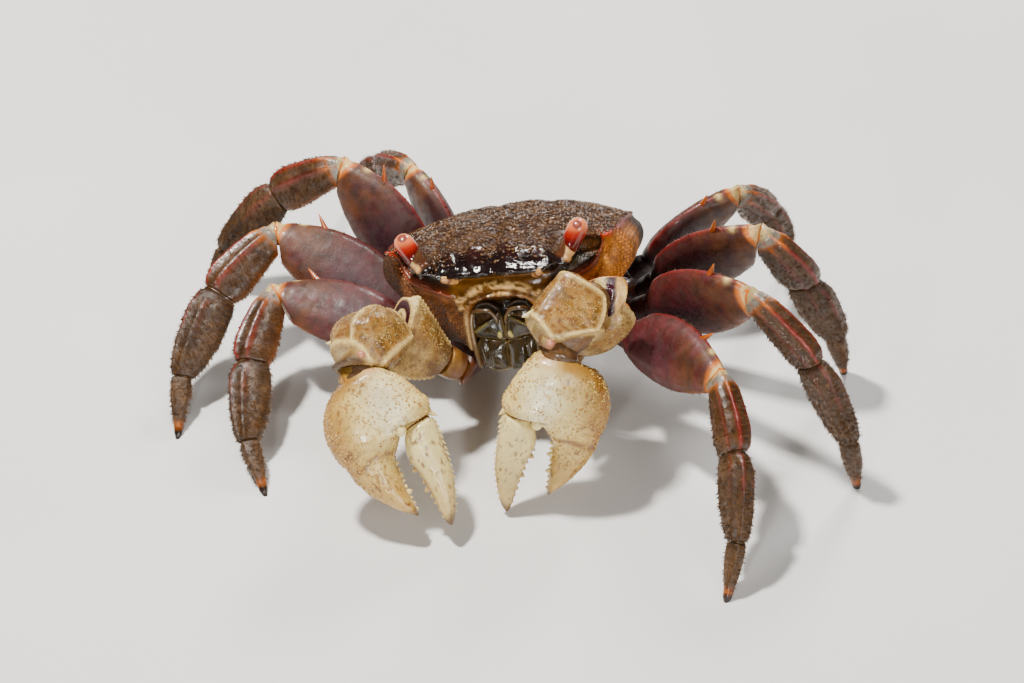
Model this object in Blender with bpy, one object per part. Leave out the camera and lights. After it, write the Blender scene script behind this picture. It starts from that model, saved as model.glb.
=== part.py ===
"""Life-size museum model of a mangrove land crab, standing with its claws hanging open.

Lengths are in millimetres until a mesh is made. The body frame has x to the crab's left,
y to its back and z up, with its origin midway between the two outer orbital teeth.
"""
import math
import random

import bmesh
import bpy
import numpy as np
from mathutils import Matrix, Vector

MM = 0.001
GAP = 0.3

# Stance of the body over the floor
BODY_HEIGHT = 31.0
BODY_PITCH = 24.0
BODY_ROLL = 12.0

# Carapace
CARAPACE_WIDTH = 38.0
CARAPACE_LENGTH = 33.0
HALF_WIDTH = CARAPACE_WIDTH / 2
DOME_HEIGHT = 2.6
MARGIN_DROP = 3.6
WALL_DEPTH = 16.2
WALL_TAPER = 0.36
REAR_TAPER = 0.16
REAR_TAPER_START = 7.0
REAR_TAPER_RUN = 9.0
SEAM_SLOPE = 0.25
FRONT_HALF = 10.0
FRONT_REACH = 5.0
FRONT_DROP = 5.0
LOBE_HEIGHT = 1.1
GROOVE_DEPTH = 1.0
ORBIT_DEPTH = 3.2

# Breastplate and leg bases
BREAST_FLOOR = -20.0
BREAST_RISE = 0.22
COXA_LENGTH = 4.6
COXA_STEP = 0.1

# Eyes
EYE_SEAT = Vector((11.6, -3.0, -2.4))
EYE_CENTRE = Vector((13.8, -2.3, 0.9))
CORNEA_LENGTH = 5.4
CORNEA_RADIUS = 1.85
STALK_RADIUS = 1.15

# Walking legs, second to fifth pair: lengths of merus with ischium, carpus, propodus, dactylus
LEG_LENGTHS = {2: (27.0, 12.5, 13.5, 9.0), 3: (30.0, 13.8, 15.0, 9.8),
               4: (28.5, 13.0, 14.0, 9.4), 5: (22.0, 10.5, 11.0, 8.0)}
LEG_HIPS = {2: (15.0, 7.0, -16.8), 3: (17.0, 12.8, -15.8),
            4: (16.8, 19.2, -14.4), 5: (13.8, 25.4, -13.0)}
LEG_SCALE = {2: 0.92, 3: 1.0, 4: 0.96, 5: 0.80}
MERUS_WIDTH = 11.4
CARPUS_WIDTH = 7.4
PROPODUS_WIDTH = 7.2
DACTYLUS_WIDTH = 3.4
TOE_RADIUS = 0.65

# Stance of each leg: heading towards the front, lean of its plane to the front, then the
# slopes of carpus, propodus and dactylus. The merus slope is solved so that the toe rests.
LEG_STANCE = {
    ("left", 2): (50.0, -29.0, -36.0, -50.0, -67.0),
    ("left", 3): (30.0, 6.0, -37.0, -66.0, -84.0),
    ("left", 4): (5.0, 14.0, -60.0, -72.0, -84.0),
    ("left", 5): (-35.0, 16.0, -52.0, -66.0, -80.0),
    ("right", 2): (20.0, -62.0, -64.0, -80.0, -98.0),
    ("right", 3): (16.0, -54.0, -42.0, -62.0, -82.0),
    ("right", 4): (-12.0, -26.0, -32.0, -54.0, -76.0),
    ("right", 5): (-44.0, -4.0, -28.0, -46.0, -66.0),
}

# Claws: joint places over the floor, palm directions and sizes
CLAW_HIP = (8.8, -1.4, -19.2)
CLAW_ELBOW = {"left": (17.2, -10.4, 30.0), "right": (-14.2, -13.4, 21.8)}
CLAW_WRIST = {"left": (13.4, -19.0, 25.4), "right": (-17.6, -24.2, 22.6)}
PALM_AXIS = {"left": (-0.22, -0.34, -0.91), "right": (0.60, -0.43, -0.67)}
PALM_OUTSIDE = {"left": (0.20, -0.90, 0.30), "right": (0.16, -0.76, 0.63)}
PALM_SCALE = {"left": 0.98, "right": 1.0}
FINGER_SPREAD = {"left": 12.0, "right": 4.0}
PALM_THICKNESS = 9.0
KNUCKLE_X = 11.4
FINGER_HINGE_Y = 3.4
FINGER_TEETH = 7
BIG_TEETH = (1, 4)
BIG_TOOTH_HEIGHT = 0.85
SMALL_TOOTH_HEIGHT = 0.55
TOOTH_RADIUS = 0.55
RIDGE_TEETH = 14
RIDGE_TOOTH_HEIGHT = 0.4

COLOURS = {
    "shell": (0.075, 0.042, 0.028), "cheek": (0.42, 0.17, 0.035), "mouth": (0.045, 0.036, 0.016),
    "eye": (0.62, 0.13, 0.05), "stalk": (0.72, 0.42, 0.2), "ivory": (0.82, 0.76, 0.58),
    "tan": (0.62, 0.42, 0.16), "maroon": (0.2, 0.04, 0.05), "fur": (0.16, 0.075, 0.03),
}


def clear_scene():
    """Remove whatever the file opens with."""
    for thing in list(bpy.data.objects):
        bpy.data.objects.remove(thing, do_unlink=True)


def finish_material(name):
    """Give the Principled material of one colour of the animal."""
    material = bpy.data.materials.get(name)
    if material is None:
        material = bpy.data.materials.new(name)
        material.use_nodes = True
        shader = material.node_tree.nodes["Principled BSDF"]
        shader.inputs["Base Color"].default_value = (*COLOURS[name], 1.0)
        shader.inputs["Roughness"].default_value = 0.2 if name == "eye" else 0.45
        shader.inputs["Metallic"].default_value = 0.0
    return material


def body_matrix():
    """Place the body frame over the floor: nose up, then rolled with its left side high."""
    roll = Matrix.Rotation(-math.radians(BODY_ROLL), 4, "Y")
    pitch = Matrix.Rotation(-math.radians(BODY_PITCH), 4, "X")
    return Matrix.Translation((0.0, 0.0, BODY_HEIGHT)) @ roll @ pitch


BODY = body_matrix()


def mesh_object(name, points, faces, material, matrix=None):
    """Make a closed mesh object from points in millimetres, with its faces pointing out."""
    mesh = bpy.data.meshes.new(name)
    mesh.from_pydata([Vector(p) * MM for p in points], [], faces)
    shell = bmesh.new()
    shell.from_mesh(mesh)
    bmesh.ops.remove_doubles(shell, verts=shell.verts, dist=0.00001)
    bmesh.ops.recalc_face_normals(shell, faces=shell.faces)
    bmesh.ops.triangulate(shell, faces=shell.faces)
    shell.to_mesh(mesh)
    shell.free()
    mesh.shade_smooth()
    mesh.set_sharp_from_angle(angle=math.radians(40))
    thing = bpy.data.objects.new(name, mesh)
    mesh.materials.append(finish_material(material))
    bpy.context.scene.collection.objects.link(thing)
    if matrix is not None:
        place = matrix.copy()
        place.translation = matrix.translation * MM
        thing.matrix_world = place
    return thing


def ring_faces(rings, count):
    """Join rings of the same count into a tube with both ends capped."""
    faces = []
    for r in range(rings - 1):
        for i in range(count):
            j = (i + 1) % count
            faces.append((r * count + i, r * count + j, (r + 1) * count + j, (r + 1) * count + i))
    faces.append(tuple(reversed(range(count))))
    faces.append(tuple(range((rings - 1) * count, rings * count)))
    return faces


def super_round(angle, power):
    """Give a point on a unit superellipse: power 2 is round, and more is squarer."""
    c = math.cos(angle)
    s = math.sin(angle)
    return (math.copysign(abs(c) ** (2 / power), c), math.copysign(abs(s) ** (2 / power), s))


def fuse(body, pieces):
    """Unite closed pieces with a body in one Boolean and keep its largest closed surface."""
    if not pieces:
        return body
    group = bpy.data.collections.new(body.name + "_pieces")
    bpy.context.scene.collection.children.link(group)
    for piece in pieces:
        for owner in list(piece.users_collection):
            owner.objects.unlink(piece)
        group.objects.link(piece)
    bpy.context.view_layer.update()
    joiner = body.modifiers.new("fuse", "BOOLEAN")
    joiner.operation = "UNION"
    joiner.operand_type = "COLLECTION"
    joiner.collection = group
    joiner.solver = "EXACT"
    graph = bpy.context.evaluated_depsgraph_get()
    fused = bpy.data.meshes.new_from_object(body.evaluated_get(graph))
    body.modifiers.remove(joiner)
    keep_largest_shell(fused)
    body.data = fused
    for piece in pieces:
        bpy.data.objects.remove(piece, do_unlink=True)
    bpy.data.collections.remove(group)
    return body


def keep_largest_shell(mesh):
    """Drop every closed surface but the largest, with slivers merged away."""
    shell = bmesh.new()
    shell.from_mesh(mesh)
    bmesh.ops.remove_doubles(shell, verts=shell.verts, dist=0.000004)
    bmesh.ops.triangulate(shell, faces=shell.faces)
    left = set(shell.faces)
    best = set()
    while left:
        seed = left.pop()
        island = {seed}
        stack = [seed]
        while stack:
            for edge in stack.pop().edges:
                if len(edge.link_faces) != 2:
                    continue
                for other in edge.link_faces:
                    if other in left:
                        left.discard(other)
                        island.add(other)
                        stack.append(other)
        if len(island) > len(best):
            best = island
    bmesh.ops.delete(shell, geom=[f for f in shell.faces if f not in best], context="FACES")
    shell.to_mesh(mesh)
    shell.free()
    mesh.shade_smooth()
    mesh.set_sharp_from_angle(angle=math.radians(40))


def spine(root, tip, radius, sides=5, matrix=None):
    """Make one tapered tooth or spine, whose root is sunk below the point that it grows from."""
    root = Vector(root)
    tip = Vector(tip)
    way = (tip - root).normalized()
    across = way.orthogonal().normalized()
    other = way.cross(across)
    start = root - way * radius * 0.9
    points = []
    for i in range(sides):
        a = 2 * math.pi * i / sides
        points.append(start + (across * math.cos(a) + other * math.sin(a)) * radius)
    points.append(tip)
    faces = [(i, (i + 1) % sides, sides) for i in range(sides)]
    faces.append(tuple(reversed(range(sides))))
    return mesh_object("spine", points, faces, "ivory", matrix)


def smooth_line(knots, count):
    """Read points evenly from a Catmull-Rom curve through knots, kept straight at its ends."""
    knots = np.array(knots, float)
    padded = np.vstack([2 * knots[0] - knots[1], knots, 2 * knots[-1] - knots[-2]])
    out = []
    for u in np.linspace(0, len(knots) - 1, count):
        k = min(int(u), len(knots) - 2)
        f = u - k
        a, b, c, d = padded[k:k + 4]
        out.append(0.5 * (2 * b + (c - a) * f + (2 * a - 5 * b + 4 * c - d) * f * f
                          + (3 * b - a - 3 * c + d) * f ** 3))
    return np.array(out)


def bump(value, centre, width):
    """Give a smooth hill of height 1 and the given half width."""
    return math.exp(-((value - centre) / width) ** 2)


def margin_half():
    """Give the left half of the carapace margin from front to back, seen from above."""
    w = HALF_WIDTH
    back = CARAPACE_LENGTH - FRONT_REACH
    front = [(0.0, -FRONT_REACH + 0.7), (2.0, -FRONT_REACH + 0.1), (4.6, -FRONT_REACH),
             (7.4, -FRONT_REACH + 0.1), (9.2, -FRONT_REACH + 0.5), (FRONT_HALF, -FRONT_REACH + 1.6),
             (FRONT_HALF + 1.0, -1.3), (FRONT_HALF + 2.6, 0.5), (w - 4.6, 1.1), (w - 2.6, 0.7)]
    teeth = [(w - 1.0, -0.9), (w - 0.3, 1.0), (w - 0.7, 3.0), (w + 0.2, 4.0), (w + 0.3, 6.2)]
    side = smooth_line([(w, 8.0), (w - 0.5, 14.0), (w - 2.6, 20.5), (w - 6.6, 25.8),
                        (w - 11.4, back - 0.4), (0.0, back)], 15)
    return front + teeth + [tuple(p) for p in side]


def margin_height(x, y):
    """Give the height of the carapace margin: deflexed front, level sides, low rear."""
    rear = max(0.0, (y - 10.0) / (CARAPACE_LENGTH - FRONT_REACH - 10.0))
    front = 0.0
    if y < 1.0 and abs(x) < FRONT_HALF + 3.0:
        front = FRONT_DROP * min(1.0, max(0.0, (1.0 - y) / (1.0 + FRONT_REACH - 0.4))) ** 0.8
    return -MARGIN_DROP * rear ** 1.6 - front


def top_height(x, y, inward):
    """Give the height of the back inside the margin, where inward is 0 there and 1 at the middle."""
    dome = DOME_HEIGHT * (1.0 - (1.0 - min(1.0, inward * 1.25)) ** 2.2)
    groove = GROOVE_DEPTH * bump(x, 0.0, 1.1) * bump(y, 0.5, 5.5)
    cervical = 0.5 * bump(abs(x), 6.0, 3.5) * bump(y, 13.5, 1.4)
    urogastric = 0.45 * bump(abs(x), 4.2, 1.0) * bump(y, 17.5, 5.0)
    branch = 0.35 * bump(abs(x), 13.5, 1.4) * bump(y, 7.2, 2.6)
    lobes = 0.0
    for centre, width in ((2.9, 1.9), (7.3, 1.8)):
        lobes += LOBE_HEIGHT * bump(abs(x), centre, width) * bump(y, -1.6, 1.5)
    return dome - groove - cervical - urogastric - branch + lobes


def wall_floor(y):
    """Give the height of the shell's lower edge, a plane that is deep at the cheeks and rises to the rear."""
    return -WALL_DEPTH + SEAM_SLOPE * (y + 3.0)


def wall_point(x, y, z, share):
    """Carry a margin point down the face or the side wall by a share of the wall's depth."""
    floor = wall_floor(y)
    side = min(1.0, max(0.0, (y + 2.0) / 9.0))
    depth = share * floor / -WALL_DEPTH
    rear = min(1.0, max(0.0, (y - REAR_TAPER_START) / REAR_TAPER_RUN))
    taper = 1.0 - (WALL_TAPER + REAR_TAPER * rear) * depth ** 1.5
    middle = 13.0
    px = x * taper
    py = middle + (y - middle) * (1.0 - 0.2 * side * depth ** 1.6)
    pz = z + (floor - z) * share
    if side < 1.0:
        face = -2.6 + 1.1 * (abs(px) / 15.0) ** 2 * 3.0 + 1.8 * max(0.0, depth - 0.75)
        ridge = -1.3 * bump(pz, -4.6 - 2.6 * max(0.0, 1.0 - (abs(px) - 7.0) / 9.0), 1.3)
        ridge *= min(1.0, max(0.0, (abs(px) - 6.0) / 3.0))
        epistome = -0.7 * bump(pz, -7.6, 1.6) * bump(px, 0.0, 6.5)
        orbit = ORBIT_DEPTH * bump(abs(px), 14.2, 2.7) * bump(pz, -1.9, 1.7)
        mouth = 3.6 * min(1.0, max(0.0, (6.6 - abs(px)) / 0.9)) * min(1.0, max(0.0, (-8.7 - pz) / 0.9))
        py += (face + ridge + epistome + orbit + mouth - py) * (1.0 - side) * min(1.0, depth * 14.0)
    return (px, py, z + (wall_floor(py) - z) * share)


def eased_outline(outline, rounds):
    """Smooth a closed outline by moving each point towards its neighbours."""
    line = np.array(outline)
    for _ in range(rounds):
        line = 0.5 * line + 0.25 * (np.roll(line, 1, axis=0) + np.roll(line, -1, axis=0))
    return line


def carapace_rings():
    """List the rings of the carapace from the crown of its back down to its lower edge."""
    half = margin_half()
    outline = half + [(-x, y) for x, y in reversed(half[1:-1])]
    eased = eased_outline(outline, 14)
    centre = (0.0, 12.0)
    rings = []
    for inward in (0.97, 0.88, 0.76, 0.64, 0.52, 0.41, 0.31, 0.22, 0.15, 0.09, 0.045):
        ring = []
        ease = min(1.0, inward * 5.0)
        for i in range(len(outline)):
            x = outline[i][0] + (eased[i][0] - outline[i][0]) * ease
            y = outline[i][1] + (eased[i][1] - outline[i][1]) * ease
            px = x + (centre[0] - x) * inward
            py = y + (centre[1] - y) * inward
            edge = margin_height(x, y)
            share = (1.0 - inward) ** (9.0 if y < 1.0 else 3.0)
            ring.append((px, py, edge * share + top_height(px, py, inward) - 0.2 * share))
        rings.append(ring)
    rings.append([(x, y, margin_height(x, y)) for x, y in outline])
    for depth in (0.045, 0.11, 0.18, 0.26, 0.34, 0.42, 0.50, 0.58, 0.66, 0.75, 0.84, 0.93, 1.0):
        rings.append([wall_point(x, y, margin_height(x, y), depth) for x, y in outline])
    return rings


def build_carapace():
    """Make the carapace with its front, orbits, cheeks and side walls."""
    rings = carapace_rings()
    count = len(rings[0])
    points = [p for ring in rings for p in ring]
    return mesh_object("carapace", points, ring_faces(len(rings), count), "shell", BODY)


def tube_points(path, radii, sides):
    """Give rings of points round a path of the head, each with its own radius."""
    points = []
    path = [Vector(p) for p in path]
    for k, centre in enumerate(path):
        ahead = path[min(k + 1, len(path) - 1)]
        behind = path[max(k - 1, 0)]
        way = (ahead - behind).normalized()
        across = way.cross(Vector((0.0, 1.0, 0.0))).normalized()
        up = across.cross(way).normalized()
        for i in range(sides):
            a = 2 * math.pi * i / sides
            points.append(centre + (across * math.cos(a) + up * math.sin(a)) * radii[k])
    return points


def build_breastplate():
    """Make the breastplate, with the first piece of every leg standing on its rim."""
    back = CARAPACE_LENGTH - FRONT_REACH
    half = [(0.0, 0.9), (3.0, 0.9), (6.2, 1.0), (9.2, 1.4), (11.4, 3.4), (12.8, 6.0), (13.4, 9.0), (13.6, 12.0),
            (13.6, 15.0), (13.0, 18.0), (11.8, 21.0), (9.8, 24.0), (6.6, back - 1.6), (0.0, back - 1.0)]
    outline = half + [(-x, y) for x, y in reversed(half[1:-1])]
    points = []
    count = len(outline)
    for depth, shrink in ((0.0, 1.0), (0.35, 1.0), (0.7, 0.97), (0.9, 0.9), (1.0, 0.78)):
        for x, y in outline:
            top = wall_floor(y) - GAP
            base = BREAST_FLOOR + BREAST_RISE * max(0.0, y - 8.0)
            groove = 0.35 * bump(x, 0.0, 2.2) * depth
            points.append((x * shrink, 12.0 + (y - 12.0) * (0.4 + 0.6 * shrink),
                           top + (base - top) * depth + groove))
    plate = mesh_object("breastplate", points, ring_faces(5, count), "cheek", BODY)
    coxae = []
    for side in ("left", "right"):
        sign = 1.0 if side == "left" else -1.0
        for pair in (2, 3, 4, 5):
            joints = leg_joints(side, pair)[0]
            root = BODY @ Vector((sign * (LEG_HIPS[pair][0] - COXA_LENGTH), LEG_HIPS[pair][1], LEG_HIPS[pair][2]))
            coxae.append(base_piece(root, joints[0], joints[1], 2.3 * LEG_SCALE[pair]))
        hip = BODY @ Vector((sign * CLAW_HIP[0], CLAW_HIP[1], CLAW_HIP[2]))
        root = BODY @ Vector((sign * (CLAW_HIP[0] - 1.0), CLAW_HIP[1] + 5.4, CLAW_HIP[2] + 1.0))
        coxae.append(base_piece(root, hip, Vector(CLAW_ELBOW[side]), 2.5))
    return fuse(plate, coxae)


def base_piece(root, hip, onward, radius):
    """Make the first piece of a leg, from inside the breastplate to a face square to what follows it."""
    base = Segment(root, hip, Vector((0.0, 0.0, 1.0)))
    rows = [(0.0, -radius * 1.25, radius * 1.25, radius * 1.25), (base.length * 0.7, -radius * 1.15, radius * 1.15,
            radius * 1.15), (base.length, -radius, radius, radius * 0.92)]
    plane = (hip, (onward - hip).normalized())
    piece = limb_mesh("coxa", base, rows, 10, "cheek", None, plane)
    to_body = BODY.inverted()
    for point in piece.data.vertices:
        place = to_body @ (base.matrix @ (point.co / MM))
        place.z = min(place.z, wall_floor(place.y) - GAP - COXA_STEP)
        point.co = base.matrix.inverted() @ (BODY @ place) * MM
    return piece


def build_abdomen():
    """Make the narrow folded abdomen of a male, a plate that tapers forward under the breastplate."""
    rows = [(24.4, 5.2), (20.5, 5.4), (17.4, 4.9), (14.4, 4.2), (11.6, 3.4), (8.8, 2.5), (6.4, 1.4)]
    points = []
    for y, half in rows:
        top = BREAST_FLOOR + BREAST_RISE * max(0.0, y - 8.0) - GAP
        for x, z in ((-half, top), (half, top), (half * 0.8, top - 1.1), (0.0, top - 1.5),
                     (-half * 0.8, top - 1.1)):
            points.append((x, y, z))
    return mesh_object("abdomen", points, ring_faces(len(rows), 5), "tan", BODY)


def build_face():
    """Make both eyes with their stalks, the antennae and the outer mouthparts."""
    for side, sign in (("left", 1.0), ("right", -1.0)):
        flip = Matrix.Diagonal((sign, 1.0, 1.0, 1.0))
        seat = flip @ EYE_SEAT
        centre = flip @ EYE_CENTRE
        way = (centre - seat).normalized()
        build_eye(side, seat, centre, way)
        build_mouthpart(side, sign)
        build_antenna(side, sign)


def build_eye(side, seat, centre, way):
    """Make one eyestalk and, past a thin gap, its rounded cornea."""
    cornea_start = centre - way * (CORNEA_LENGTH / 2 - 1.0)
    stalk_end = cornea_start - way * GAP
    path = [seat.lerp(stalk_end, t) for t in (0.0, 0.3, 0.6, 0.85, 1.0)]
    radii = [STALK_RADIUS * f for f in (1.15, 0.95, 0.92, 1.05, 1.2)]
    points = tube_points(path, radii, 12)
    mesh_object("eyestalk_" + side, points, ring_faces(5, 12), "stalk", BODY)
    path = []
    radii = []
    for t in np.linspace(0.0, 1.0, 9):
        path.append(cornea_start + way * (CORNEA_LENGTH - 1.0) * (1.0 - math.cos(t * math.pi / 2)) ** 0.72)
        low = 0.78 + 0.22 * math.sin(min(1.0, t * 2.4) * math.pi / 2)
        along = (1.0 - math.cos(t * math.pi / 2)) ** 0.72
        radii.append(CORNEA_RADIUS * low * math.sqrt(max(0.02, 1.0 - max(0.0, (along - 0.42) / 0.58) ** 2)))
    points = tube_points(path, radii, 14)
    mesh_object("cornea_" + side, points, ring_faces(9, 14), "eye", BODY)


def build_mouthpart(side, sign):
    """Make the outer mouthpart of one side: a long ischium and a squarer merus over it."""
    inner = 0.35
    outer = 5.1
    rows = [(-9.9, 2.6, 4.4), (-10.8, 1.4, outer), (-13.0, 0.9, outer), (-15.0, inner, outer - 0.4),
            (-17.2, inner, outer - 0.7), (-19.2, inner, outer - 1.3), (-20.2, 1.0, outer - 2.4)]
    points = []
    for k, (z, near, far) in enumerate(rows):
        face = -3.1 + 1.5 * max(0.0, (-z - 15.0) / 5.0) ** 1.5 + (0.7 if k == 0 else 0.0)
        bow = 0.5
        mid = (near + far) / 2
        for x, y in ((near, face + 1.5), (near, face + bow * 0.7), (mid, face - 0.1),
                     (far - 0.4, face + bow * 0.4), (far, face + 1.0), (far, face + 1.5)):
            points.append((sign * x, y, z))
    return mesh_object("mouthpart_" + side, points, ring_faces(len(rows), 6), "mouth", BODY)


def build_antenna(side, sign):
    """Make one short antenna on its rounded base between the front and the orbit."""
    path = [Vector(p) for p in ((8.2, -4.9, -6.4), (8.8, -5.5, -5.9), (9.5, -5.9, -5.0), (10.3, -6.2, -3.9),
                                (11.2, -6.4, -2.7))]
    path = [Vector((sign * p.x, p.y, p.z)) for p in path]
    points = tube_points(path, [1.0, 0.95, 0.6, 0.36, 0.27], 8)
    return mesh_object("antenna_" + side, points, ring_faces(5, 8), "stalk", BODY)


class Segment:
    """One piece of a limb between two joints, with x along it, y in its broad face and z across it."""

    def __init__(self, start, end, broad):
        self.start = Vector(start)
        self.end = Vector(end)
        self.way = (self.end - self.start).normalized()
        self.length = (self.end - self.start).length
        thin = self.way.cross(Vector(broad)).normalized()
        broad = thin.cross(self.way).normalized()
        self.matrix = Matrix((
            (self.way.x, broad.x, thin.x, self.start.x),
            (self.way.y, broad.y, thin.y, self.start.y),
            (self.way.z, broad.z, thin.z, self.start.z),
            (0.0, 0.0, 0.0, 1.0)))

    def plane(self, point, normal):
        """Bring a plane of the world into the segment's own frame."""
        inverse = self.matrix.inverted()
        return inverse @ Vector(point), (inverse.to_3x3() @ Vector(normal)).normalized()

    def loft(self, rows, sides, power=2.2, turn=0.0):
        """Give rings from rows of: place along, edge below, edge above, half thickness."""
        points = []
        for x, low, high, half in rows:
            middle = (low + high) / 2
            for i in range(sides):
                c, s = super_round(2 * math.pi * (i + turn) / sides, power)
                points.append(Vector((x, middle + c * (high - low) / 2, s * half)))
        return points


def cut_back(points, plane, clearance, rings, sides, first):
    """Push points that pass a joint plane back along the segment, and lay its end ring on the plane."""
    place, normal = plane
    ring = range(sides) if first else range((rings - 1) * sides, rings * sides)
    for i, p in enumerate(points):
        reach = (p - place).dot(normal)
        over = reach - clearance if first else reach + clearance
        if i in ring or (over < 0.0 if first else over > 0.0):
            points[i] = p - Vector((over / normal.x, 0.0, 0.0))


def limb_mesh(name, segment, rows, sides, material, start_plane=None, end_plane=None, end_gap=GAP / 2,
              power=2.2, turn=0.0):
    """Make one limb segment, cut back to the planes that it shares with its neighbours."""
    points = segment.loft(rows, sides, power, turn)
    if start_plane is not None:
        cut_back(points, segment.plane(*start_plane), GAP / 2, len(rows), sides, True)
    if end_plane is not None:
        cut_back(points, segment.plane(*end_plane), end_gap, len(rows), sides, False)
    return mesh_object(name, points, ring_faces(len(rows), sides), material, segment.matrix)


def joint_plane(before, after):
    """Give the plane that halves the bend between two segments, through their shared joint."""
    return after.start, (before.way + after.way).normalized()


def leg_joints(side, pair):
    """Find the joints of one leg: the slopes are set, and the merus slope lets the toe rest."""
    sign = 1.0 if side == "left" else -1.0
    heading, lean, carpus, propodus, dactylus = LEG_STANCE[(side, pair)]
    heading = math.radians(heading)
    lean = math.radians(lean)
    hip = BODY @ Vector((sign * LEG_HIPS[pair][0], LEG_HIPS[pair][1], LEG_HIPS[pair][2]))
    out = Vector((sign * math.cos(heading), -math.sin(heading), 0.0))
    ahead = Vector((math.sin(heading) * -sign, -math.cos(heading), 0.0))
    up = Vector((0.0, 0.0, math.cos(lean))) + ahead * math.sin(lean)
    lengths = LEG_LENGTHS[pair]
    slopes = [math.radians(s) for s in (carpus, propodus, dactylus)]
    fall = sum(length * math.sin(slope) for length, slope in zip(lengths[1:], slopes))
    merus = math.asin(max(-1.0, min(1.0, (-hip.z / up.z - fall) / lengths[0])))
    joints = [hip]
    for length, slope in zip(lengths, [merus] + slopes):
        joints.append(joints[-1] + out * math.cos(slope) * length + up * math.sin(slope) * length)
    return joints, up


def build_leg(side, pair):
    """Make the four segments of one walking leg, with its toe cut flat on the floor."""
    joints, up = leg_joints(side, pair)
    scale = LEG_SCALE[pair]
    pieces = [Segment(joints[k], joints[k + 1], up) for k in range(4)]
    planes = [joint_plane(pieces[k], pieces[k + 1]) for k in range(3)]
    floor = (Vector((joints[4].x, joints[4].y, 0.0)), Vector((0.0, 0.0, -1.0)))
    tag = "_" + side + "_" + str(pair)
    wide = MERUS_WIDTH * scale / 2
    run = pieces[0].length
    rows = [(GAP / 2, -2.0, 2.0, 1.8), (run * 0.1, -2.3, 2.3, 1.9), (run * 0.2, -wide * 0.6, wide * 0.52, 2.0),
            (run * 0.32, -wide * 0.84, wide * 0.86, 2.2), (run * 0.48, -wide * 0.97, wide * 1.04, 2.2),
            (run * 0.64, -wide * 0.98, wide * 1.03, 2.1), (run * 0.79, -wide * 0.84, wide * 0.86, 2.0),
            (run * 0.92, -wide * 0.62, wide * 0.56, 1.8), (run, -wide * 0.5, wide * 0.36, 1.5)]
    merus = limb_mesh("merus" + tag, pieces[0], rows, 12, "maroon", None, planes[0], turn=0.5)
    tooth = spine((run * 0.77, wide * 0.78, 0.0), (run * 0.87, wide * 1.16, 0.0), 0.75, 5, pieces[0].matrix)
    fuse(merus, [tooth])
    wide = CARPUS_WIDTH * scale / 2
    run = pieces[1].length
    rows = [(0.0, -wide * 0.62, wide * 0.6, 1.4), (run * 0.2, -wide * 0.72, wide * 0.86, 1.7),
            (run * 0.5, -wide * 0.86, wide * 1.05, 1.8), (run * 0.8, -wide * 0.96, wide * 1.1, 1.8),
            (run, -wide * 0.8, wide * 0.86, 1.5)]
    limb_mesh("carpus" + tag, pieces[1], rows, 10, "maroon", planes[0], planes[1], turn=0.5)
    wide = PROPODUS_WIDTH * scale / 2
    run = pieces[2].length
    rows = [(0.0, -wide * 0.82, wide * 0.84, 1.5), (run * 0.2, -wide * 0.98, wide * 1.05, 1.7),
            (run * 0.5, -wide * 0.98, wide * 1.0, 1.7), (run * 0.8, -wide * 0.78, wide * 0.8, 1.5),
            (run, -wide * 0.48, wide * 0.52, 1.2)]
    limb_mesh("propodus" + tag, pieces[2], rows, 10, "fur", planes[1], planes[2], turn=0.5)
    wide = DACTYLUS_WIDTH * scale / 2
    run = pieces[3].length
    toe = TOE_RADIUS
    rows = [(0.0, -wide * 0.9, wide * 0.95, 1.1), (run * 0.25, -wide, wide, 1.1),
            (run * 0.55, -wide * 0.72, wide * 0.8, 0.95), (run * 0.82, -toe * 1.2, toe * 1.3, 0.75),
            (run, -toe, toe, toe)]
    limb_mesh("dactylus" + tag, pieces[3], rows, 8, "fur", planes[2], floor, end_gap=0.0, turn=0.5)


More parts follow.
